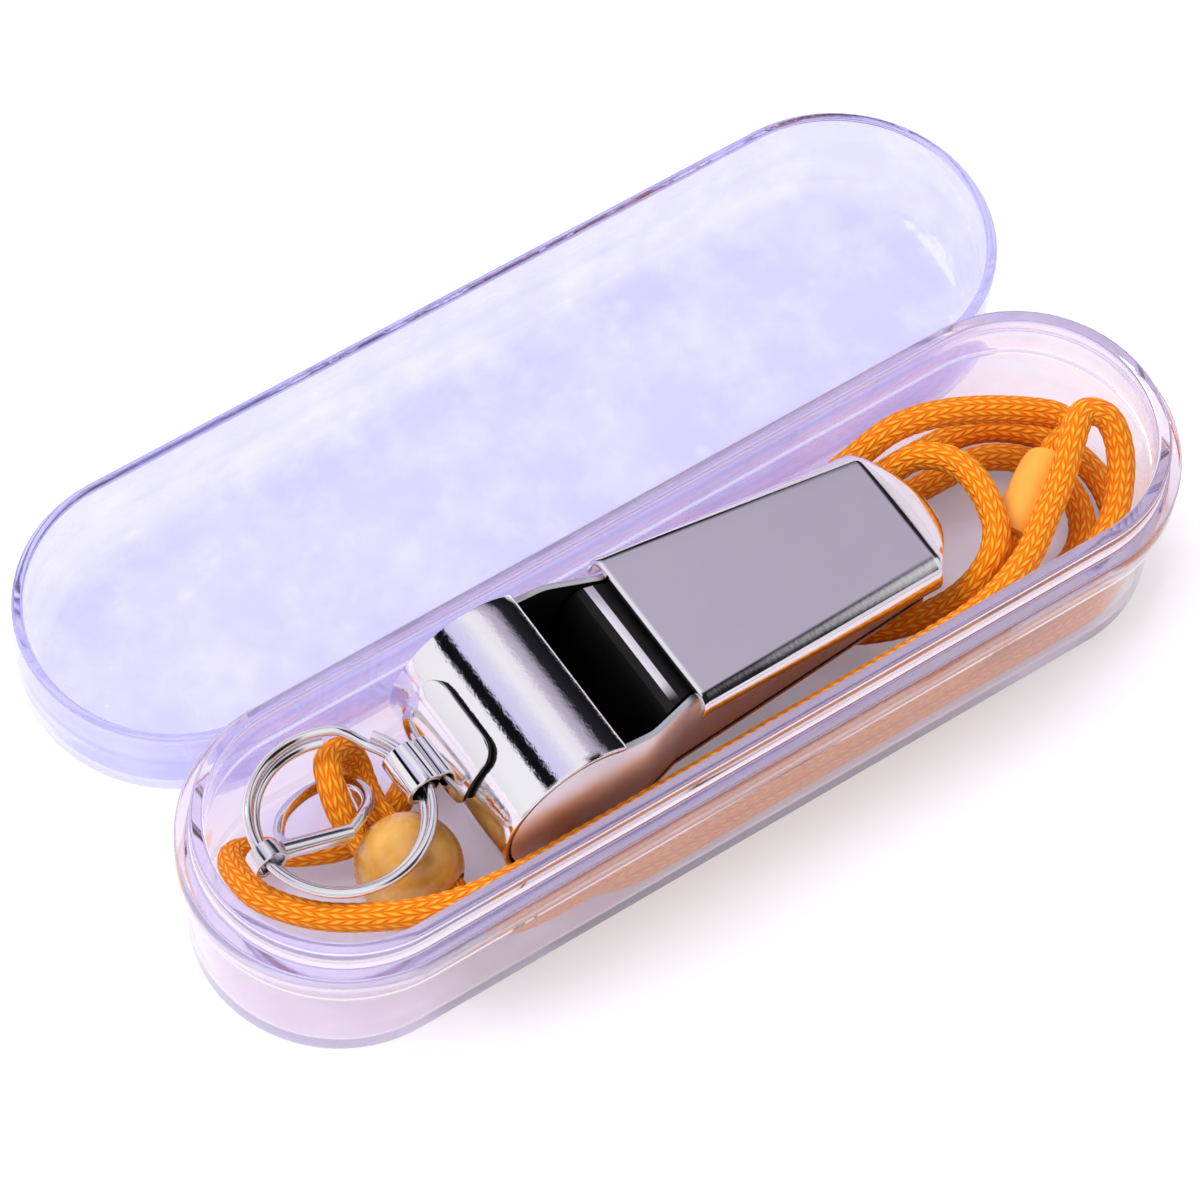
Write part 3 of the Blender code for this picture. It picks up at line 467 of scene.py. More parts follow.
def cork_material():
    """Dark, rough cork."""
    material, tree, shader, _ = new_material("pea_cork")
    place = object_place(tree)
    grain = noise(tree, place, 1400.0, 3.0, 0.65)
    browns = [(0.35, (0.03, 0.016, 0.008)), (0.5, (0.1, 0.055, 0.028)), (0.8, (0.17, 0.1, 0.055))]
    tree.links.new(colour_ramp(tree, grain, browns), shader.inputs["Base Color"])
    shader.inputs["Roughness"].default_value = 0.85
    add_bump(tree, shader, grain, 0.12 * MM)
    return material


def sleeve_material():
    """Smooth orange moulding that lets a little light in."""
    material, tree, shader, _ = new_material("joiner_sleeve")
    place = object_place(tree)
    patch = noise(tree, place, 150.0, 2.0)
    colour = mix_colour(tree, patch, (0.97, 0.36, 0.03, 1), (1.0, 0.49, 0.07, 1))
    tree.links.new(colour, shader.inputs["Base Color"])
    tree.links.new(spread(tree, noise(tree, place, 700.0), 0.3, 0.5), shader.inputs["Roughness"])
    shader.inputs["Subsurface Weight"].default_value = 0.2
    shader.inputs["Subsurface Scale"].default_value = 1.0 * MM
    add_bump(tree, shader, noise(tree, place, 480.0, 2.0), 0.05 * MM)
    return material


# Meshes


def skin_rings(bm, rings):
    """Faces from ring to ring, and a cap on the first and the last."""
    for lower, upper in zip(rings, rings[1:]):
        for index in range(len(lower)):
            after = (index + 1) % len(lower)
            bm.faces.new((lower[index], lower[after], upper[after], upper[index]))
    cap_ends(bm, rings)


def cap_ends(bm, rings):
    bm.faces.new(list(reversed(rings[0])))
    bm.faces.new(rings[-1])


def soften_edges(piece, width, segments, angle):
    soften = piece.modifiers.new("soften", "BEVEL")
    soften.width = width
    soften.segments = segments
    soften.limit_method = "ANGLE"
    soften.angle_limit = math.radians(angle)


def link_object(name, data, material=None):
    piece = bpy.data.objects.new(name, data)
    bpy.context.scene.collection.objects.link(piece)
    if material is not None:
        data.materials.clear()
        data.materials.append(material)
    return piece


def mesh_object(name, bm, material, smooth_angle=35, outward=True):
    if outward:
        bmesh.ops.recalc_face_normals(bm, faces=bm.faces)
    mesh = bpy.data.meshes.new(name)
    bm.to_mesh(mesh)
    bm.free()
    mesh.shade_smooth()
    mesh.set_sharp_from_angle(angle=math.radians(smooth_angle))
    return link_object(name, mesh, material)


def evaluated_mesh(piece, name, material=None, smooth_angle=None):
    """The finished mesh of an object with modifiers, as a plain object in the same place."""
    bpy.context.view_layer.update()
    mesh = bpy.data.meshes.new_from_object(piece.evaluated_get(bpy.context.evaluated_depsgraph_get()))
    mesh.transform(piece.matrix_world)
    bpy.data.objects.remove(piece, do_unlink=True)
    mesh.name = name
    if smooth_angle is not None:
        mesh.shade_smooth()
        mesh.set_sharp_from_angle(angle=math.radians(smooth_angle))
    return link_object(name, mesh, material)


def finish_piece(piece, body, slot_name, *nodes):
    if nodes:
        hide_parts(*nodes)
    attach(piece, body)
    return piece


def stadium(length, width, inset, height, centre, steps=36):
    """A ring of points: two straight sides and round ends, moved in by an inset."""
    radius = width / 2 - inset
    arc_x = length / 2 - width / 2
    ring = []
    for side in (1, -1):
        first = -math.pi / 2 if side > 0 else math.pi / 2
        for step in range(steps + 1):
            angle = first + math.pi * step / steps
            x = centre.x + side * arc_x + radius * math.cos(angle)
            ring.append((x, centre.y + radius * math.sin(angle), height))
    return ring


def arc_points(centre, radius, first, last, steps):
    """Points of an arc in a section, each (inset, height)."""
    points = []
    for step in range(steps + 1):
        angle = math.radians(first + (last - first) * step / steps)
        points.append((centre[0] + radius * math.cos(angle), centre[1] + radius * math.sin(angle)))
    return points


def stadium_shell(name, section, length, width, centre, material):
    """A closed shell: one section, from under the floor up over the rim and down inside, led round."""
    bm = bmesh.new()
    rings = [[bm.verts.new(p) for p in stadium(length, width, inset, z, centre)] for inset, z in section]
    skin_rings(bm, rings)
    return mesh_object(name, bm, material, 50)


def case_base(material):
    centre = Vector((0, 0, 0))
    middle = CASE_WIDTH / 2 - FLOOR_HUB
    edge = BODY_EDGE_RADIUS
    small = 0.25 * MM
    inner = 0.7 * MM
    section = [(middle, 0), (BODY_INSET + edge + 0.3 * MM, 0)]
    section += arc_points((BODY_INSET + edge, edge), edge, -90, -180, 6)
    section += arc_points((BODY_INSET - small, BODY_HEIGHT - small), small, 0, 90, 3)
    section += arc_points((small, BODY_HEIGHT + small), small, -90, -180, 3)
    section += arc_points((small, COLLAR_TOP - small), small, 180, 90, 3)
    section += arc_points((NECK_INSET - small, COLLAR_TOP + small), small, -90, 0, 3)
    section += arc_points((NECK_INSET + RIM_RADIUS, RIM_HEIGHT - RIM_RADIUS), RIM_RADIUS, 180, 90, 4)
    section += arc_points((CAVITY_INSET - RIM_RADIUS, RIM_HEIGHT - RIM_RADIUS), RIM_RADIUS, 90, 0, 4)
    section += arc_points((CAVITY_INSET + inner, CASE_FLOOR + inner), inner, -180, -90, 5)
    section += [(middle, CASE_FLOOR)]
    base = stadium_shell("case_base_shell", section, CASE_LENGTH, CASE_WIDTH, centre, material)
    return finish_piece(base, "case", "clear_plastic", "case_base")


def case_lid(material):
    centre = Vector((LID_CENTRE.x, LID_CENTRE.y, 0))
    middle = CASE_WIDTH / 2 - FLOOR_HUB
    outer = LID_EDGE_RADIUS
    inner = LID_EDGE_RADIUS - LID_WALL
    rim = 0.3 * MM
    section = [(middle, 0), (outer + 0.5 * MM, 0)]
    section += arc_points((outer, outer), outer, -90, -180, 10)
    section += arc_points((rim, LID_HEIGHT - rim), rim, 180, 90, 4)
    section += arc_points((LID_WALL - rim, LID_HEIGHT - rim), rim, 90, 0, 4)
    section += arc_points((LID_WALL + inner, LID_FLOOR + inner), inner, -180, -90, 9)
    section += [(outer + 0.5 * MM, LID_FLOOR), (middle, LID_FLOOR)]
    lid = stadium_shell("case_lid_shell", section, CASE_LENGTH, CASE_WIDTH, centre, material)
    return finish_piece(lid, "lid", "clear_plastic", "case_lid")


# Whistle

WHISTLE_PLACE = Matrix.Translation(BARREL_AXIS) @ Matrix.Rotation(WHISTLE_PITCH, 4, "Y")


def barrel_point(radius, angle):
    """A point round the barrel, its angle counted from the top towards the rear."""
    return (-radius * math.sin(angle), radius * math.cos(angle))


def barrel_arc(radius, first, last, steps):
    return [barrel_point(radius, first + (last - first) * step / steps) for step in range(steps + 1)]


def underside_height(x):
    leave = barrel_point(BARREL_RADIUS, UNDERSIDE_ANGLE)
    mouth = PLATE_HEIGHT - MOUTH_HEIGHT
    return leave[1] + (mouth - leave[1]) * (x - leave[0]) / (PLATE_END - leave[0])


def blend_width(x, wide, rear, tip):
    if x <= BEND_START:
        return wide
    if x <= PLATE_START:
        return wide + (rear - wide) * (x - BEND_START) / (PLATE_START - BEND_START)
    return rear + (tip - rear) * (x - PLATE_START) / PLATE_LENGTH


def strip_half_width(x):
    cover = SHEET + SOLDER_GAP
    return blend_width(x, BARREL_WIDTH / 2, PLATE_REAR_WIDTH / 2 - cover, PLATE_TIP_WIDTH / 2 - cover)


def side_face(x):
    return strip_half_width(x) - SIDE_RECESS


def whistle_sheet(name, rows, material, node, inner=None, offset=-1, smooth_angle=40, shaded_rim=False):
    """A lofted sheet with slightly rounded edges. Its inner side, and if asked its cut rim too, can take a
    second material, which here is near-black painted shade.
    """
    bm = bmesh.new()
    grid = [[bm.verts.new(point) for point in row] for row in rows]
    for first, second in zip(grid, grid[1:]):
        for a, b, c, d in zip(first, first[1:], second[1:], second):
            bm.faces.new((a, b, c, d))
    bmesh.ops.remove_doubles(bm, verts=bm.verts, dist=WELD)
    bmesh.ops.dissolve_degenerate(bm, edges=bm.edges, dist=WELD)
    mesh = bpy.data.meshes.new(name)
    bm.to_mesh(mesh)
    bm.free()
    raw = link_object(name + "_raw", mesh, material)
    if inner is not None:
        mesh.materials.append(inner)
    wall = raw.modifiers.new("wall", "SOLIDIFY")
    wall.thickness = SHEET
    wall.offset = offset
    wall.use_even_offset = True
    wall.material_offset = 0 if inner is None else 1
    wall.material_offset_rim = 1 if shaded_rim else 0
    soften_edges(raw, SHEET_EDGE, 2, 60)
    raw.matrix_world = WHISTLE_PLACE
    piece = evaluated_mesh(raw, name, None, smooth_angle)
    return finish_piece(piece, "whistle", "plated_metal", node)


def mouthpiece_top(material):
    """The top plate with its folded side flanges and the bent lip at the tip."""
    fold_steps = 8
    across = 12

    def section(half, share):
        radius = FOLD_RADIUS * (1 + 1.4 * share)
        points = [(-half, PLATE_HEIGHT - FOLD_RADIUS - FLANGE_DEPTH)]
        for step in range(fold_steps + 1):
            angle = math.pi / 2 * step / fold_steps
            across_fold = radius * (1 - math.cos(angle))
            points.append((across_fold - half, PLATE_HEIGHT - radius * (1 - math.sin(angle))))
        flat = half - radius
        points += [(flat * (2 * s / across - 1), PLATE_HEIGHT) for s in range(1, across)]
        points += [(-y, z) for y, z in reversed(points[:fold_steps + 2])]
        return points

    rows = []
    for share in (0, 0.02, 0.25, 0.5, 0.75, 0.95, 0.99):
        x = PLATE_START + PLATE_LENGTH * share
        half = (PLATE_REAR_WIDTH + (PLATE_TIP_WIDTH - PLATE_REAR_WIDTH) * share) / 2
        rows.append([(x, y, z) for y, z in section(half, share)])
    tip = [(PLATE_END, y, z) for y, z in section(PLATE_TIP_WIDTH / 2, 1)]
    for share in (0, 0.06, 0.12, 0.3, 0.5, 0.7, 0.85, 1):
        row = []
        for x, y, z in tip:
            bulge = max(0.0, 1 - (y / (PLATE_TIP_WIDTH / 2 - FOLD_RADIUS)) ** 2)
            drop = LIP_DROP * bulge * (0.75 * share + 0.25 * share * share)
            row.append((x + LIP_REACH * bulge * share, y, z - drop))
        rows.append(row)
    return whistle_sheet("mouthpiece_top_plate", rows, material, "mouthpiece_top")


def side_plate(side, name, node, material, inner_metal):
    """A sheet on one side: a disc at the barrel that runs on along the mouthpiece."""
    rise = SHEET + SOLDER_GAP
    inner = BARREL_RADIUS - rise
    slope = math.atan2(underside_height(PLATE_END) - underside_height(0), PLATE_END)
    depth = -underside_height(0) * math.cos(slope) - rise
    corner = math.pi + slope + math.acos(depth / inner)
    outline = barrel_arc(inner, BLADE_ANGLE, corner, 72)
    tip_x = PLATE_END - SHEET
    outline.append((tip_x, underside_height(tip_x) + rise / math.cos(slope)))
    outline.append((tip_x, PLATE_HEIGHT - rise))
    outline.append((PLATE_START, PLATE_HEIGHT - rise))
    bm = bmesh.new()
    bm.faces.new([bm.verts.new((x, 0, z)) for x, z in outline])
    for bend in (BEND_START, PLATE_START):
        for bend_x in (bend - BEND_EASE, bend, bend + BEND_EASE):
            geometry = list(bm.verts) + list(bm.edges) + list(bm.faces)
            bmesh.ops.bisect_plane(
                bm, geom=geometry, dist=FINE_WELD, plane_co=(bend_x, 0, 0), plane_no=(1, 0, 0)
            )
    for vert in bm.verts:
        x = vert.co.x
        eased = (side_face(x - BEND_EASE) + 2 * side_face(x) + side_face(x + BEND_EASE)) / 4
        vert.co.y = side * min(eased, side_face(x))
    bmesh.ops.recalc_face_normals(bm, faces=bm.faces)
    if sum(face.normal.y * face.calc_area() for face in bm.faces) * side < 0:
        bmesh.ops.reverse_faces(bm, faces=bm.faces)
    mesh = bpy.data.meshes.new(name)
    bm.to_mesh(mesh)
    bm.free()
    raw = link_object(name + "_raw", mesh, material)
    # The inner face takes the second material, here the near-black painted shade.
    mesh.materials.append(inner_metal)
    wall = raw.modifiers.new("wall", "SOLIDIFY")
    wall.thickness = SIDE_SHEET
    wall.offset = -1
    wall.material_offset = 1
    soften_edges(raw, SIDE_EDGE, 2, 60)
    raw.matrix_world = WHISTLE_PLACE
    piece = evaluated_mesh(raw, name, None, 40)
    return finish_piece(piece, "whistle", "plated_metal", node)


def barrel_strip(material, inner):
    """One strip from the window's blade round the chamber and along the underside to the mouth."""
    path = barrel_arc(BARREL_RADIUS, BLADE_ANGLE, UNDERSIDE_ANGLE, 110)
    for x in (BEND_START + 1.2 * MM, PLATE_START, (PLATE_START + PLATE_END) / 2, PLATE_END):
        path.append((x, underside_height(x)))
    columns = 16
    rows = []
    for x, z in path:
        half = strip_half_width(x)
        rows.append([(x, half * (2 * c / columns - 1), z) for c in range(columns + 1)])
    for share in (0.5, 1.0):
        lip = []
        for x, y, z in rows[-1] if share == 0.5 else rows[-2]:
            bulge = 1 - (y / strip_half_width(PLATE_END)) ** 2
            reach = PLATE_END + LIP_REACH * bulge * share
            lip.append((reach, y, underside_height(reach)))
        rows.append(lip)
    return whistle_sheet("barrel_band", rows, material, "barrel_strip", inner)


def windway_ramp(inside, bright):
    """The breath's floor: near-black painted shade inside, with one bright edge of plating where it ends
    over the window.
    """
    roof = PLATE_HEIGHT - SHEET
    mouth_x = PLATE_END - 2 * MM
    front_x = barrel_point(BARREL_RADIUS, UNDERSIDE_ANGLE)[0] + MM
    seat = SHEET + SOLDER_GAP + 0.1 * MM
    path = [
        (mouth_x, underside_height(mouth_x) + seat + SHEET),
        (RAMP_REAR + RAMP_FLAT, roof - WINDWAY),
        (PLATE_START, roof - WINDWAY),
        (RAMP_REAR + 0.75 * MM, roof - WINDWAY),
        (RAMP_REAR, roof - WINDWAY - 0.09 * MM),
        (RAMP_REAR - 0.55 * MM, roof - WINDWAY - 0.45 * MM),
        (RAMP_REAR - 1.2 * MM, roof - WINDWAY - 1.6 * MM),
        (front_x, underside_height(front_x) + seat),
    ]
    rows = []
    for x, z in path:
        half = side_face(x) - SIDE_SHEET - SOLDER_GAP
        rows.append([(x, -half, z), (x, -half / 2, z), (x, 0, z), (x, half / 2, z), (x, half, z)])
    ramp = whistle_sheet("windway_floor", rows, inside, "windway_ramp", offset=1, smooth_angle=25)
    ramp.data.materials.append(bright)
    unplaced = WHISTLE_PLACE.inverted()
    for face in ramp.data.polygons:
        if RAMP_REAR - 0.1 * MM < (unplaced @ face.center).x < RAMP_REAR + 0.6 * MM:
            face.material_index = 1
    return ramp


def ring_lug(material, painted_shade_edge):
    """A curved plate soldered to the barrel, with a rolled eye on its lower edge."""
    outer = BARREL_RADIUS + SOLDER_GAP + SHEET
    steps = 48
    length = outer * (LUG_EYE_ANGLE - LUG_TOP_ANGLE)
    rows = []
    for step in range(steps + 1):
        share = step / steps
        run = length * share
        angle = LUG_TOP_ANGLE + (LUG_EYE_ANGLE - LUG_TOP_ANGLE) * share
        corner = min(run, length - run)
        inset = 0.0
        if corner < LUG_CORNER:
            inset = LUG_CORNER - math.sqrt(LUG_CORNER**2 - (LUG_CORNER - corner) ** 2)
        x, z = barrel_point(outer, angle)
        half = LUG_WIDTH / 2 - inset
        rows.append([(x, LUG_OFFSET + half * (2 * c / 8 - 1), z) for c in range(9)])
    # Painted shade: the plate's underside and cut rim take the near-black material, which paints a dark
    # outline round the plate.
    plate = whistle_sheet("ring_lug_plate", rows, material, "ring_lug", painted_shade_edge, shaded_rim=True)
    bore = RING_WIRES / 2 + EYE_CLEARANCE
    radius = bore + EYE_WALL
    eye_x, eye_z = barrel_point(BARREL_RADIUS + SOLDER_GAP + radius, LUG_EYE_ANGLE)
    centre = WHISTLE_PLACE @ Vector((eye_x, RING_CENTRE.y - BARREL_AXIS.y, eye_z))
    eye = turned_tube("ring_lug_eye", bore, radius, EYE_LENGTH, centre, ACROSS, material, EYE_EDGE)
    finish_piece(eye, "whistle", "plated_metal")
    return plate


def turned_place(centre, along):
    """The matrix that lays what stands on +Z along a direction, at a centre."""
    turn = Vector((0, 0, 1)).rotation_difference(along)
    return Matrix.Translation(centre) @ turn.to_matrix().to_4x4()


def turned_tube(name, bore, radius, length, centre, along, material, edge):
    """A short tube with rounded edges, turned round its own axis."""
    sides = 64
    half = length / 2
    section = arc_points((radius - edge, half - edge), edge, 0, 90, 3)
    section += arc_points((bore + edge, half - edge), edge, 90, 180, 3)
    section += arc_points((bore + edge, edge - half), edge, 180, 270, 3)
    section += arc_points((radius - edge, edge - half), edge, 270, 360, 3)
    place = turned_place(centre, along)
    bm = bmesh.new()
    rings = []
    for side in range(sides):
        angle = 2 * math.pi * side / sides
        cosine = math.cos(angle)
        sine = math.sin(angle)
        rings.append([bm.verts.new(place @ Vector((r * cosine, r * sine, h))) for r, h in section])
    for index, ring in enumerate(rings):
        after = rings[(index + 1) % sides]
        for k in range(len(ring)):
            j = (k + 1) % len(ring)
            bm.faces.new((ring[k], ring[j], after[j], after[k]))
    return mesh_object(name, bm, material, 50)


def pea_ball(material):
    radius = (PEA_HIGH.z - PEA_LOW.z) / 2
    bm = bmesh.new()
    bmesh.ops.create_icosphere(bm, subdivisions=4, radius=radius)
    for vert in bm.verts:
        dent = 1.0
        for place, waves in zip(vert.co, DENT_WAVES):
            dent *= math.sin(place * waves)
        vert.co *= 1 - DENT_DEPTH * abs(dent)
    bmesh.ops.translate(bm, verts=bm.verts, vec=(PEA_LOW + PEA_HIGH) / 2)
    pea = mesh_object("cork_pea", bm, material, 60)
    return finish_piece(pea, "pea", "cork", "pea")


# Geometry node trees


def tree_with_inputs(name, sockets):
    """A geometry node group with named inputs: {name: (socket type, default)}."""
    tree = bpy.data.node_groups.new(name, "GeometryNodeTree")
    tree.is_modifier = True
    tree.interface.new_socket("Geometry", in_out="INPUT", socket_type="NodeSocketGeometry")
    for socket, (kind, value) in sockets.items():
        made = tree.interface.new_socket(socket, in_out="INPUT", socket_type=kind)
        if value is not None:
            made.default_value = value
    tree.interface.new_socket("Geometry", in_out="OUTPUT", socket_type="NodeSocketGeometry")
    return tree, tree.nodes.new("NodeGroupInput"), tree.nodes.new("NodeGroupOutput")


def set_inputs(modifier, values):
    """Sets a Geometry Nodes modifier's inputs, found by name, through their identifiers."""
    for item in modifier.node_group.interface.items_tree:
        if item.item_type == "SOCKET" and item.in_out == "INPUT" and item.name in values:
            modifier[item.identifier] = values[item.name]


def tube_ending(tree, given, made, curve):
    """The last nodes of both trees: a round tube along the curve, with caps, realized and coated."""
    profile = add_node(
        tree, "GeometryNodeCurvePrimitiveCircle",
        {"Resolution": given.outputs["Sides"], "Radius": given.outputs["Wire radius"]},
    )
    tube = add_node(tree, "GeometryNodeCurveToMesh", {
        "Curve": curve, "Profile Curve": profile.outputs[0], "Fill Caps": True,
    })
    real = add_node(tree, "GeometryNodeRealizeInstances", {"Geometry": tube.outputs[0]})
    coated = add_node(tree, "GeometryNodeSetMaterial", {
        "Geometry": real.outputs[0], "Material": given.outputs["Material"],
    })
    tree.links.new(coated.outputs[0], made.inputs[0])


def wire_tree():
    """A round wire along the object's own curve."""
    tree, given, made = tree_with_inputs("wire along a path", {
        "Wire radius": ("NodeSocketFloat", 0.5 * MM),
        "Sides": ("NodeSocketInt", 16),
        "Material": ("NodeSocketMaterial", None),
    })
    tube_ending(tree, given, made, given.outputs["Geometry"])
    return tree


def split_ring_tree():
    """Two coils of one wire, with the crimped step where it climbs from one to the other."""
    tree, given, made = tree_with_inputs("split ring", {
        "Coil radius": ("NodeSocketFloat", 9 * MM),
        "Step in": ("NodeSocketFloat", 0.7 * MM),
        "Step down": ("NodeSocketFloat", 1.0 * MM),
        "Start angle": ("NodeSocketFloat", 0.0),
        "Turn": ("NodeSocketFloat", 12.0),
        "Climb from": ("NodeSocketFloat", 5.7),
        "Climb to": ("NodeSocketFloat", 6.2),
        "Points": ("NodeSocketInt", 400),
        "Wire radius": ("NodeSocketFloat", 0.5 * MM),
        "Sides": ("NodeSocketInt", 20),
        "Material": ("NodeSocketMaterial", None),
    })
    line = add_node(tree, "GeometryNodeMeshLine", {"Count": given.outputs["Points"]})
    index = add_node(tree, "GeometryNodeInputIndex").outputs[0]
    last = calculate(tree, "SUBTRACT", given.outputs["Points"], 1.0)
    turned = calculate(tree, "MULTIPLY", calculate(tree, "DIVIDE", index, last), given.outputs["Turn"])
    level = add_node(tree, "ShaderNodeMapRange", {
        "Value": turned, "From Min": given.outputs["Climb from"], "From Max": given.outputs["Climb to"],
    }, interpolation_type="SMOOTHSTEP").outputs[0]
    below = calculate(tree, "SUBTRACT", 1.0, level)
    inward = calculate(tree, "MULTIPLY", given.outputs["Step in"], below)
    radius = calculate(tree, "SUBTRACT", given.outputs["Coil radius"], inward)
    centred = calculate(tree, "SUBTRACT", level, 0.5)
    height = calculate(tree, "MULTIPLY", given.outputs["Step down"], centred)
    angle = calculate(tree, "ADD", turned, given.outputs["Start angle"])
    place = add_node(tree, "ShaderNodeCombineXYZ", {
        "X": calculate(tree, "MULTIPLY", radius, calculate(tree, "COSINE", angle)),
        "Y": calculate(tree, "MULTIPLY", radius, calculate(tree, "SINE", angle)),
        "Z": height,
    })
    laid = add_node(tree, "GeometryNodeSetPosition", {
        "Geometry": line.outputs[0], "Position": place.outputs[0],
    })
    curve = add_node(tree, "GeometryNodeMeshToCurve", {"Mesh": laid.outputs[0]})
    tube_ending(tree, given, made, curve.outputs[0])
    return tree


def run_tree(name, data, tree, values, place, material):
    """Puts a tree on an object, keeps what it makes as one welded plain mesh and drops the modifier."""
    maker = link_object(name + "_raw", data)
    maker.matrix_world = place
    modifier = maker.modifiers.new("make", "NODES")
    modifier.node_group = tree
    set_inputs(modifier, values)
    bpy.context.view_layer.update()
    mesh = bpy.data.meshes.new_from_object(maker.evaluated_get(bpy.context.evaluated_depsgraph_get()))
    bpy.data.objects.remove(maker, do_unlink=True)
    bm = bmesh.new()
    bm.from_mesh(mesh)
    bm.transform(place)
    bmesh.ops.remove_doubles(bm, verts=bm.verts, dist=FINE_WELD)
    bpy.data.meshes.remove(mesh)
    return mesh_object(name, bm, material, 50)


def poly_curve(name, points):
    curve = bpy.data.curves.new(name, "CURVE")
    curve.dimensions = "3D"
    spline = curve.splines.new("POLY")
    spline.points.add(len(points) - 1)
    for point, place in zip(spline.points, points):
        point.co = (*place, 1)
    return curve


def split_ring(material):
    values = {
        "Coil radius": RING_RADIUS, "Step in": COIL_STEP_IN, "Step down": COIL_STEP_DOWN,
        "Start angle": RING_START, "Turn": RING_TURN,
        "Climb from": RING_CLIMB[0], "Climb to": RING_CLIMB[1],
        "Points": 420, "Wire radius": RING_WIRE / 2, "Sides": 24, "Material": material,
    }
    place = Matrix.Translation(RING_CENTRE)
    ring = run_tree("key_ring", bpy.data.meshes.new("key_ring"), split_ring_tree(), values, place, material)
    return finish_piece(ring, "ring", "plated_metal", "split_ring")


def cord_link(material):
    """The rod with its head on the split ring, and the wire bow that the cord goes round."""
    tree = wire_tree()
    head_bore = RING_WIRES / 2 + HEAD_CLEARANCE
    head_radius = head_bore + HEAD_WALL
    head_at = RING_CENTRE + Vector((COIL_STEP_IN / 2 - RING_RADIUS, HEAD_SHIFT, 0))
    rod_start = head_at + Vector((head_bore + HEAD_WALL / 2, 0, -ROD_DROP))
    route = [RING_CENTRE + RING_RADIUS * Vector(place) for place in BOW_ROUTE]
    rod_end = route[-1]
    bow_route = [rod_start.lerp(rod_end, 0.18)] + route
    stretches = {
        "link_bow": (smooth_path(bow_route, 0.25 * MM), BOW_DIAMETER),
        "link_rod": (rod_path(rod_start, rod_end), ROD_DIAMETER),
    }
    for name, (points, diameter) in stretches.items():
        values = {"Wire radius": diameter / 2, "Sides": 24, "Material": material}
        piece = run_tree(name, poly_curve(name, points), tree, values, Matrix.Identity(4), material)
        finish_piece(piece, "whistle", "plated_metal", *(["cord_link"] if name == "link_rod" else []))
    head = turned_tube(
        "link_head", head_bore, head_radius, HEAD_LENGTH, head_at, ACROSS, material, SHEET_EDGE
    )
    finish_piece(head, "whistle", "plated_metal")


def rod_path(start, end):
    return [start.lerp(end, step / 12) for step in range(13)]


# Lanyard


def smooth_path(knots, step):
    """Evenly spaced points on the smooth curve through knots."""
    ends = [2 * knots[0] - knots[1]] + knots + [2 * knots[-1] - knots[-2]]
    fine = [knots[0]]
    for before, start, stop, after in zip(ends, ends[1:], ends[2:], ends[3:]):
        span = (stop - start).length
        leave = (stop - before) * (span / (span + (start - before).length))
        arrive = (after - start) * (span / (span + (after - stop).length))
        for index in range(1, 13):
            t = index / 12
            fine.append(
                (2 * t**3 - 3 * t**2 + 1) * start
                + (t**3 - 2 * t**2 + t) * leave
                + (3 * t**2 - 2 * t**3) * stop
                + (t**3 - t**2) * arrive
            )
    distances = [0.0]
    for a, b in zip(fine, fine[1:]):
        distances.append(distances[-1] + (b - a).length)
    count = max(2, round(distances[-1] / step))
    points = []
    span = 0
    for index in range(count + 1):
        wanted = distances[-1] * index / count
        while span < len(fine) - 2 and distances[span + 1] < wanted:
            span += 1
        share = (wanted - distances[span]) / (distances[span + 1] - distances[span])
        points.append(fine[span].lerp(fine[span + 1], share))
    return points


def strand_place(side, run):
    """A point of one strand in the bead, in millimetres: run is along the bore, in bead diameters."""
    place = BEAD_CENTRE + BORE_ACROSS * (side * STRAND_SPACING / 2) + BORE_ALONG * (run * BEAD_DIAMETER)
    return tuple(place / MM)


def sleeve_end(side, run=0.0):
    """A point of the cord where it meets the sleeve's end, or farther out, in millimetres."""
    return tuple((SLEEVE_CENTRE + SLEEVE_ALONG * side * (SLEEVE_LENGTH / 2 + CORD_GAP + run)) / MM)


def noose_route():
    """From the sleeve along the near wall, through the bead, round the link's bow and back."""
    right = [strand_place(1, run) for run in (0.57, 0.27, 0, -0.27, -0.55)]
    left = [strand_place(-1, run) for run in (-0.55, -0.27, 0, 0.27, 0.55)]
    return (
        [sleeve_end(-1), sleeve_end(-1, 1.6 * MM), (32.8, -8.2, 7.9), (28.9, -10.4, 6.8), (24, -11.4, 6.65)]
        + [(17, -11.55, 6.65), (5, -11.55, 6.65), (-8, -11.55, 6.65), (-18, -11.55, 6.65)]
        + [(-25.5, -11.4, 6.65), (-29.6, -10.6, 6.9)]
        + right
        + [(-33.4, 6.0, 6.6), (-32.7, 8.7, 5.6), (-32.3, 11.0, 6.6), (-33.6, 11.6, 9.0)]
        + [(-35.8, 10.6, 10.5), (-36.9, 8.3, 10.3), (-37.25, 5.9, 8.7)]
        + left
        + [(-34.7, -10.5, 8.7), (-32.0, -11.45, 10.2), (-27, -11.55, 10.0), (-15, -11.55, 10.0)]
        + [(0, -11.55, 10.0), (15, -11.55, 10.0), (30, -11.55, 10.0), (33, -11.55, 10.0)]
    )


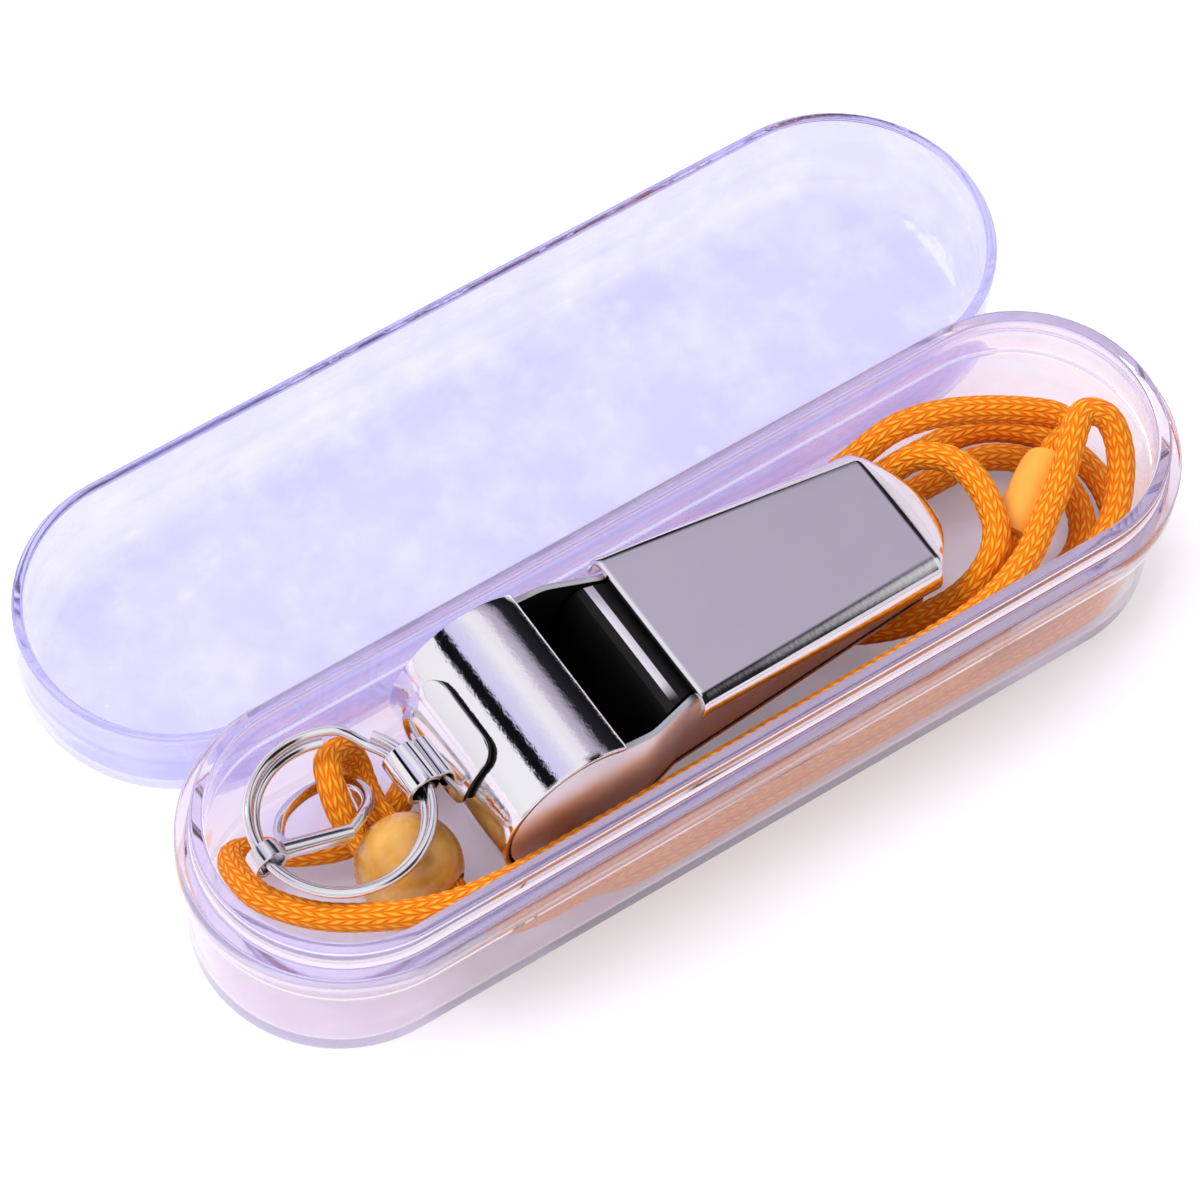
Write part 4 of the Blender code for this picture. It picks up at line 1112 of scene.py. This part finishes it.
OUTER_ROUTE = [
    (36.3, -11.55, 10.0), (41.5, -11.2, 10.1), (46.8, -9.1, 10.8), (50.2, -6.0, 12.0), (51.9, -3.0, 13.9),
    (51.9, -0.4, 15.5), (49.9, 0.9, 16.1), (47.2, -0.9, 15.6), (44, -3.6, 14.7), (40, -6.3, 14.4),
    (35.4, -9.2, 14.2), (29, -11.2, 13.8), (22, -11.55, 13.4), (8, -11.55, 13.35), (-8, -11.55, 13.35),
    (-20, -11.55, 13.4), (-29, -11.4, 13.6), (-35.5, -10.4, 13.4), (-41, -8.0, 13.0), (-46.2, -3.8, 11.6),
    (-49.2, 1.2, 10.0), (-49.4, 5.6, 8.0), (-48.0, 8.9, 5.4), (-45.4, 9.2, 3.6), (-41.4, 6.6, 3.3),
    (-37, 4.9, 3.3), (-32.5, 5.1, 3.3), (-27.8, 7.6, 3.3), (-23.2, 10.6, 3.3), (-19.1, 11.55, 3.3),
]  # from the near wall round the right end, back along the wall, round the left end to the hank

INNER_ROUTE = [
    (3, 4.55, 3.3), (7.5, 4.0, 3.3), (12.5, 1.9, 3.3), (18, -1.2, 3.5), (23, -4.4, 4.9), (27, -6.4, 7.3),
    (30.0, -7.4, 10.4), (32.8, -6.8, 12.7), (34.9, -4.9, 13.6), (36.0, -2.5, 13.8), (36.7, 0.3, 13.7),
    (36.8, 3.1, 13.4), (35.9, 5.8, 12.8), (33.6, 8.0, 11.4), (29.8, 8.2, 8.9), (25, 6.6, 7.6),
    (20, 4.9, 6.9), (15, 4.6, 6.7), (11.8, 7.6, 6.65), (14.5, 11.0, 6.65), (19, 11.5, 6.9),
    (24, 11.55, 8.0), (29, 11.5, 10.4), (33.5, 11.4, 12.4), (38, 10.6, 12.6), (43, 8.9, 11.8),
    (47.5, 6.6, 10.9), (50.4, 4.4, 10.2), (50.2, 2.6, 9.95),
]  # from the hank over the right end, back under the mouthpiece and round to the sleeve


def end_turn(centre_x, first_y, last_y, steps):
    """Points of a hank's end turn from one track to the next."""
    middle = (first_y + last_y) / 2
    radius = (first_y - last_y) / 2
    side = 1 if centre_x > 0 else -1
    points = []
    for step in range(steps + 1):
        angle = math.pi * step / steps
        x = centre_x + side * abs(radius) * math.sin(angle)
        points.append(Vector((x, middle + radius * math.cos(angle), FLOOR_CORD_Z)))
    return points


def hank_run(start_x, end_x, y):
    """The points between the two ends of a straight run."""
    return [Vector((start_x + (end_x - start_x) * quarter / 4, y, FLOOR_CORD_Z)) for quarter in (1, 2, 3)]


def hank_points():
    """The hank under the whistle: flat loops that spiral in from track to track."""
    left, right = HANK_ARC_X
    points = [Vector((HANK_START_X, HANK_TRACKS[0], FLOOR_CORD_Z))]
    for loop, track in enumerate(HANK_TRACKS[:2]):
        start = HANK_START_X if loop == 0 else left
        points += hank_run(start, right, track)
        points += end_turn(right, track, -track, 8)
        points += hank_run(right, left, -track)
        points += end_turn(left, -track, HANK_TRACKS[loop + 1], 8)
    points.append(Vector((HANK_END_X, HANK_TRACKS[2], FLOOR_CORD_Z)))
    return points


def cord_path():
    """The whole cord's centreline, from one end of the sleeve to the other."""
    first = [Vector(p) * MM for p in noose_route() + OUTER_ROUTE]
    last = [Vector(p) * MM for p in INNER_ROUTE + [sleeve_end(1, 1.2 * MM), sleeve_end(1)]]
    return smooth_path(first + hank_points() + last, CORD_STEP)


def braid_height(around, along):
    """How far the yarn stands out at a place, around in turns and along in pitches, from 0 to 1."""
    across = (around * BRAID_COLUMNS) % 1
    lean = abs(across - 0.5)
    fleck = abs((along + BRAID_SLANT * lean) % 1 - 0.5)
    return (1 - (2 * fleck) ** YARN_CROWN) * max(0.0, 1 - abs(4 * lean - 1) ** YARN_SIDE)


def lanyard(material):
    """The braided cord as one tube whose skin follows the yarns, with a map of turns and pitches."""
    path = cord_path()
    bm = bmesh.new()
    uv = bm.loops.layers.uv.new("braid")
    side = Vector((0, 0, 1))
    rings = []
    run = 0.0
    runs = []
    for index, place in enumerate(path):
        before = path[max(0, index - 1)]
        after = path[min(len(path) - 1, index + 1)]
        along = (after - before).normalized()
        side = (side - along * side.dot(along)).normalized()
        other = along.cross(side)
        if index:
            run += (place - path[index - 1]).length
        ring = []
        for step in range(CORD_SIDES):
            angle = 2 * math.pi * step / CORD_SIDES
            out = side * math.cos(angle) + other * math.sin(angle)
            low = 1 - braid_height(step / CORD_SIDES, run / BRAID_PITCH)
            radius = CORD_DIAMETER / 2 - BRAID_RELIEF * low
            ring.append(bm.verts.new(place + out * radius))
        rings.append(ring)
        runs.append(run / BRAID_PITCH)
    for index, (lower, upper) in enumerate(zip(rings, rings[1:])):
        for step in range(CORD_SIDES):
            after = (step + 1) % CORD_SIDES
            face = bm.faces.new((lower[step], lower[after], upper[after], upper[step]))
            corners = ((step, index), (step + 1, index), (step + 1, index + 1), (step, index + 1))
            for loop, (turn, row) in zip(face.loops, corners):
                loop[uv].uv = (turn / CORD_SIDES, runs[row])
    cap_ends(bm, rings)
    cord = mesh_object("neck_lanyard", bm, material, 80)
    nodes = ["lanyard_noose", "lanyard_outer_loop", "lanyard_inner_loop", "lanyard_hank"]
    finish_piece(cord, "whistle", "orange_cord", *nodes)
    return cord


def bead_ball(material):
    """The ball with its oval bore and a small rounded edge round each mouth."""
    bm = bmesh.new()
    bmesh.ops.create_uvsphere(bm, u_segments=96, v_segments=64, radius=BEAD_DIAMETER / 2)
    bmesh.ops.translate(bm, verts=bm.verts, vec=BEAD_CENTRE)
    ball = mesh_object("bead_raw", bm, material, 50)
    height = CORD_DIAMETER + 2 * BORE_CLEARANCE
    length = STRAND_SPACING + height
    turn = Matrix((BORE_ACROSS, Vector((0, 0, 1)), -BORE_ALONG)).transposed().to_4x4()
    place = Matrix.Translation(BEAD_CENTRE) @ turn
    bm = bmesh.new()
    flat = stadium(length, height, 0, -BEAD_DIAMETER, Vector((0, 0, 0)), 20)
    bottom = [bm.verts.new(place @ Vector(p)) for p in flat]
    top = [bm.verts.new(place @ Vector((p[0], p[1], BEAD_DIAMETER))) for p in flat]
    skin_rings(bm, [bottom, top])
    cutter = mesh_object("bead_bore", bm, material, 50)
    cut = ball.modifiers.new("bore", "BOOLEAN")
    cut.operation = "DIFFERENCE"
    cut.object = cutter
    cut.solver = "EXACT"
    soften_edges(ball, MOUTH_EDGE, 3, 50)
    piece = evaluated_mesh(ball, "amber_ball", material, 40)
    bpy.data.objects.remove(cutter, do_unlink=True)
    return finish_piece(piece, "whistle", "bead_plastic", "bead")


def joiner_sleeve(material):
    """The smooth sleeve, a little drawn in over the cord at both ends."""
    sides = 48
    rows = 28
    place = turned_place(SLEEVE_CENTRE, SLEEVE_ALONG)
    bm = bmesh.new()
    rings = []
    for row in range(rows + 1):
        share = 2 * row / rows - 1
        radius = SLEEVE_DIAMETER / 2 * (1 - 0.16 * abs(share) ** 6)
        ring = []
        for side in range(sides):
            angle = 2 * math.pi * side / sides
            ring.append(bm.verts.new(place @ Vector((
                radius * math.cos(angle), radius * math.sin(angle), share * SLEEVE_LENGTH / 2,
            ))))
        rings.append(ring)
    skin_rings(bm, rings)
    sleeve = mesh_object("cord_sleeve", bm, material, 50)
    return finish_piece(sleeve, "whistle", "sleeve_plastic", "cord_joiner")


# Studio


def studio_world():
    """White all round. Mirrored, it has the dark bands and the dark card of a studio."""
    world = bpy.data.worlds.new("studio")
    world.use_nodes = True
    bpy.context.scene.world = world
    tree = world.node_tree
    background = tree.nodes["Background"]
    direction = add_node(tree, "ShaderNodeTexCoord").outputs["Generated"]
    parts = add_node(tree, "ShaderNodeSeparateXYZ", {"Vector": direction})
    turn = calculate(tree, "ARCTAN2", parts.outputs["X"], parts.outputs["Z"])
    stripes = colour_ramp(tree, between(tree, turn, -math.pi, math.pi), studio_stripes())
    greys = [
        (0.0, (0.55, 0.54, 0.57)),
        (0.18, (0.2, 0.19, 0.21)),
        (0.32, (0.75, 0.74, 0.78)),
        (0.75, (1.0, 1.0, 1.0)),
    ]
    plain = colour_ramp(tree, parts.outputs["Z"], greys)
    sky = mix_colour(tree, between(tree, parts.outputs["Y"], -0.12, 0.08), plain, stripes)
    card = between(tree, parts.outputs["X"], 0.1, 0.24)
    for axis, nothing, full in (("X", 0.65, 0.6), ("Y", 0.26, 0.06), ("Z", 0.955, 0.925)):
        card = calculate(tree, "MULTIPLY", card, between(tree, parts.outputs[axis], nothing, full))
    sky = mix_colour(tree, card, sky, (0.015, 0.013, 0.018, 1))
    low = between(tree, parts.outputs["Z"], -0.02, 0.1)
    reflected = mix_colour(tree, low, (0.9, 0.9, 0.93, 1), sky)
    path = add_node(tree, "ShaderNodeLightPath")
    through = calculate(tree, "GREATER_THAN", path.outputs["Transmission Depth"], 0.5)
    outside = calculate(tree, "SUBTRACT", 1.0, through)
    mirrored = calculate(tree, "MULTIPLY", path.outputs["Is Glossy Ray"], outside)
    colour = mix_colour(tree, mirrored, (1, 1, 1, 1), reflected)
    tree.links.new(colour, background.inputs["Color"])
    background.inputs["Strength"].default_value = 1.0


def studio_stripes():
    """The studio's bands by the angle from straight up towards +X: (share of the full turn, colour)."""
    haze = (0.9, 0.9, 0.93)
    white = (1.0, 1.0, 1.0)
    black = (0.006, 0.006, 0.008)
    bands = [
        (-180, haze), (-95, haze), (-70, white), (-42, white), (-39, black), (-24, black),
        (-21, (0.72, 0.68, 0.95)), (-6, (0.78, 0.75, 0.97)), (10, (0.98, 0.97, 1.0)),
        (24, (0.92, 0.9, 0.97)), (33, (0.56, 0.52, 0.63)), (41, (0.48, 0.44, 0.54)),
        (52, (0.02, 0.02, 0.025)), (77, black), (83, (0.93, 0.92, 1.0)), (180, haze),
    ]
    return [((angle + 180) / 360, colour) for angle, colour in bands]


def studio_floor():
    """A white floor that shows the object's soft shadow."""
    bm = bmesh.new()
    bmesh.ops.create_grid(bm, x_segments=1, y_segments=1, size=3.0)
    bmesh.ops.translate(bm, verts=bm.verts, vec=(0, 0, -0.05 * MM))
    material, tree, shader, _ = new_material("studio_floor")
    shader.inputs["Base Color"].default_value = (0.74, 0.74, 0.75, 1)
    shader.inputs["Roughness"].default_value = 1.0
    shader.inputs["Specular IOR Level"].default_value = 0.0
    path = add_node(tree, "ShaderNodeLightPath")
    seen = calculate(tree, "MAXIMUM", path.outputs["Is Camera Ray"], path.outputs["Is Glossy Ray"])
    seen = calculate(tree, "MAXIMUM", seen, path.outputs["Is Transmission Ray"])
    shader.inputs["Emission Color"].default_value = (1, 1, 1, 1)
    tree.links.new(calculate(tree, "MULTIPLY", seen, 0.2), shader.inputs["Emission Strength"])
    floor = mesh_object("studio_floor", bm, material, 50, outward=False)


def soft_light(name, place, size, watts):
    lamp = bpy.data.lights.new(name, "AREA")
    lamp.shape = "RECTANGLE"
    lamp.size, lamp.size_y = size
    lamp.energy = watts
    light = bpy.data.objects.new(name, lamp)
    light.location = place
    light.visible_glossy = False
    light.rotation_mode = "QUATERNION"
    light.rotation_quaternion = (CAMERA_TARGET - Vector(place)).to_track_quat("-Z", "Y")
    bpy.context.scene.collection.objects.link(light)


def metals():
    """The plated finishes by the piece that they are for, and a near-black painted shade for the inside."""
    wear = plating_wear_group()
    return {
        "sheet": plated(
            "plated_sheet", wear, (0.86, 0.85, 0.88), (0.78, 0.76, 0.81), 0.05, 0.14, 0.005 * MM, 0.5
        ),
        "wire": plated("plated_wire", wear, (0.85, 0.84, 0.86), (0.72, 0.70, 0.73), 0.07, 0.2, 0.006 * MM),
        "barrel": plated(
            "plated_barrel", wear, (0.88, 0.87, 0.9), (0.8, 0.78, 0.83), 0.02, 0.06, 0.012 * MM, 1.5
        ),
        "side": plated("plated_side", wear, (0.93, 0.93, 0.98), (0.82, 0.81, 0.86), 0.38, 0.52, 0.01 * MM),
        # Painted shade: near-black instead of plating, for the inside of the sheets, the windway floor and
        # the lug's underside and rim.
        "dull": plated(
            "painted_shade_inside", wear, (0.045, 0.042, 0.042), (0.028, 0.027, 0.027), 0.45, 0.7, 0.01 * MM
        ),
    }


def main():
    bpy.context.scene.view_settings.view_transform = "Standard"
    make_camera()
    sleeve = joiner_sleeve(sleeve_material())
    ball = bead_ball(bead_material())
    lanyard(braided_cord_material())
    waves = moulding_group()
    base_plastic = clear_plastic(
        "base_plastic", waves, (0.90, 0.815, 0.865), (0.94, 0.87, 0.91), 0.0, 0.04 * MM, (0.0, 0.1)
    )
    lid_plastic = clear_plastic(
        "lid_plastic", waves, (0.70, 0.69, 0.955), (0.80, 0.79, 0.98), 1.6, 0.05 * MM, (0.02, 0.1)
    )
    case_base(base_plastic)
    case_lid(lid_plastic)
    metal = metals()
    # metal["dull"] is the near-black painted shade on the inner sides, the windway floor and the lug's
    # underside and rim.
    mouthpiece_top(metal["sheet"])
    side_plate(-1, "near_side_plate", "side_plate_near", metal["side"], metal["dull"])
    side_plate(1, "far_side_plate", "side_plate_far", metal["side"], metal["dull"])
    barrel_strip(metal["barrel"], metal["dull"])
    windway_ramp(metal["dull"], metal["sheet"])
    ring_lug(metal["sheet"], metal["dull"])
    pea_ball(cork_material())
    split_ring(metal["wire"])
    cord_link(metal["wire"])
    studio_world()
    studio_floor()
    soft_light("key_light", (-0.25, 0.35, 0.6), (0.4, 0.4), 3.0)


main()
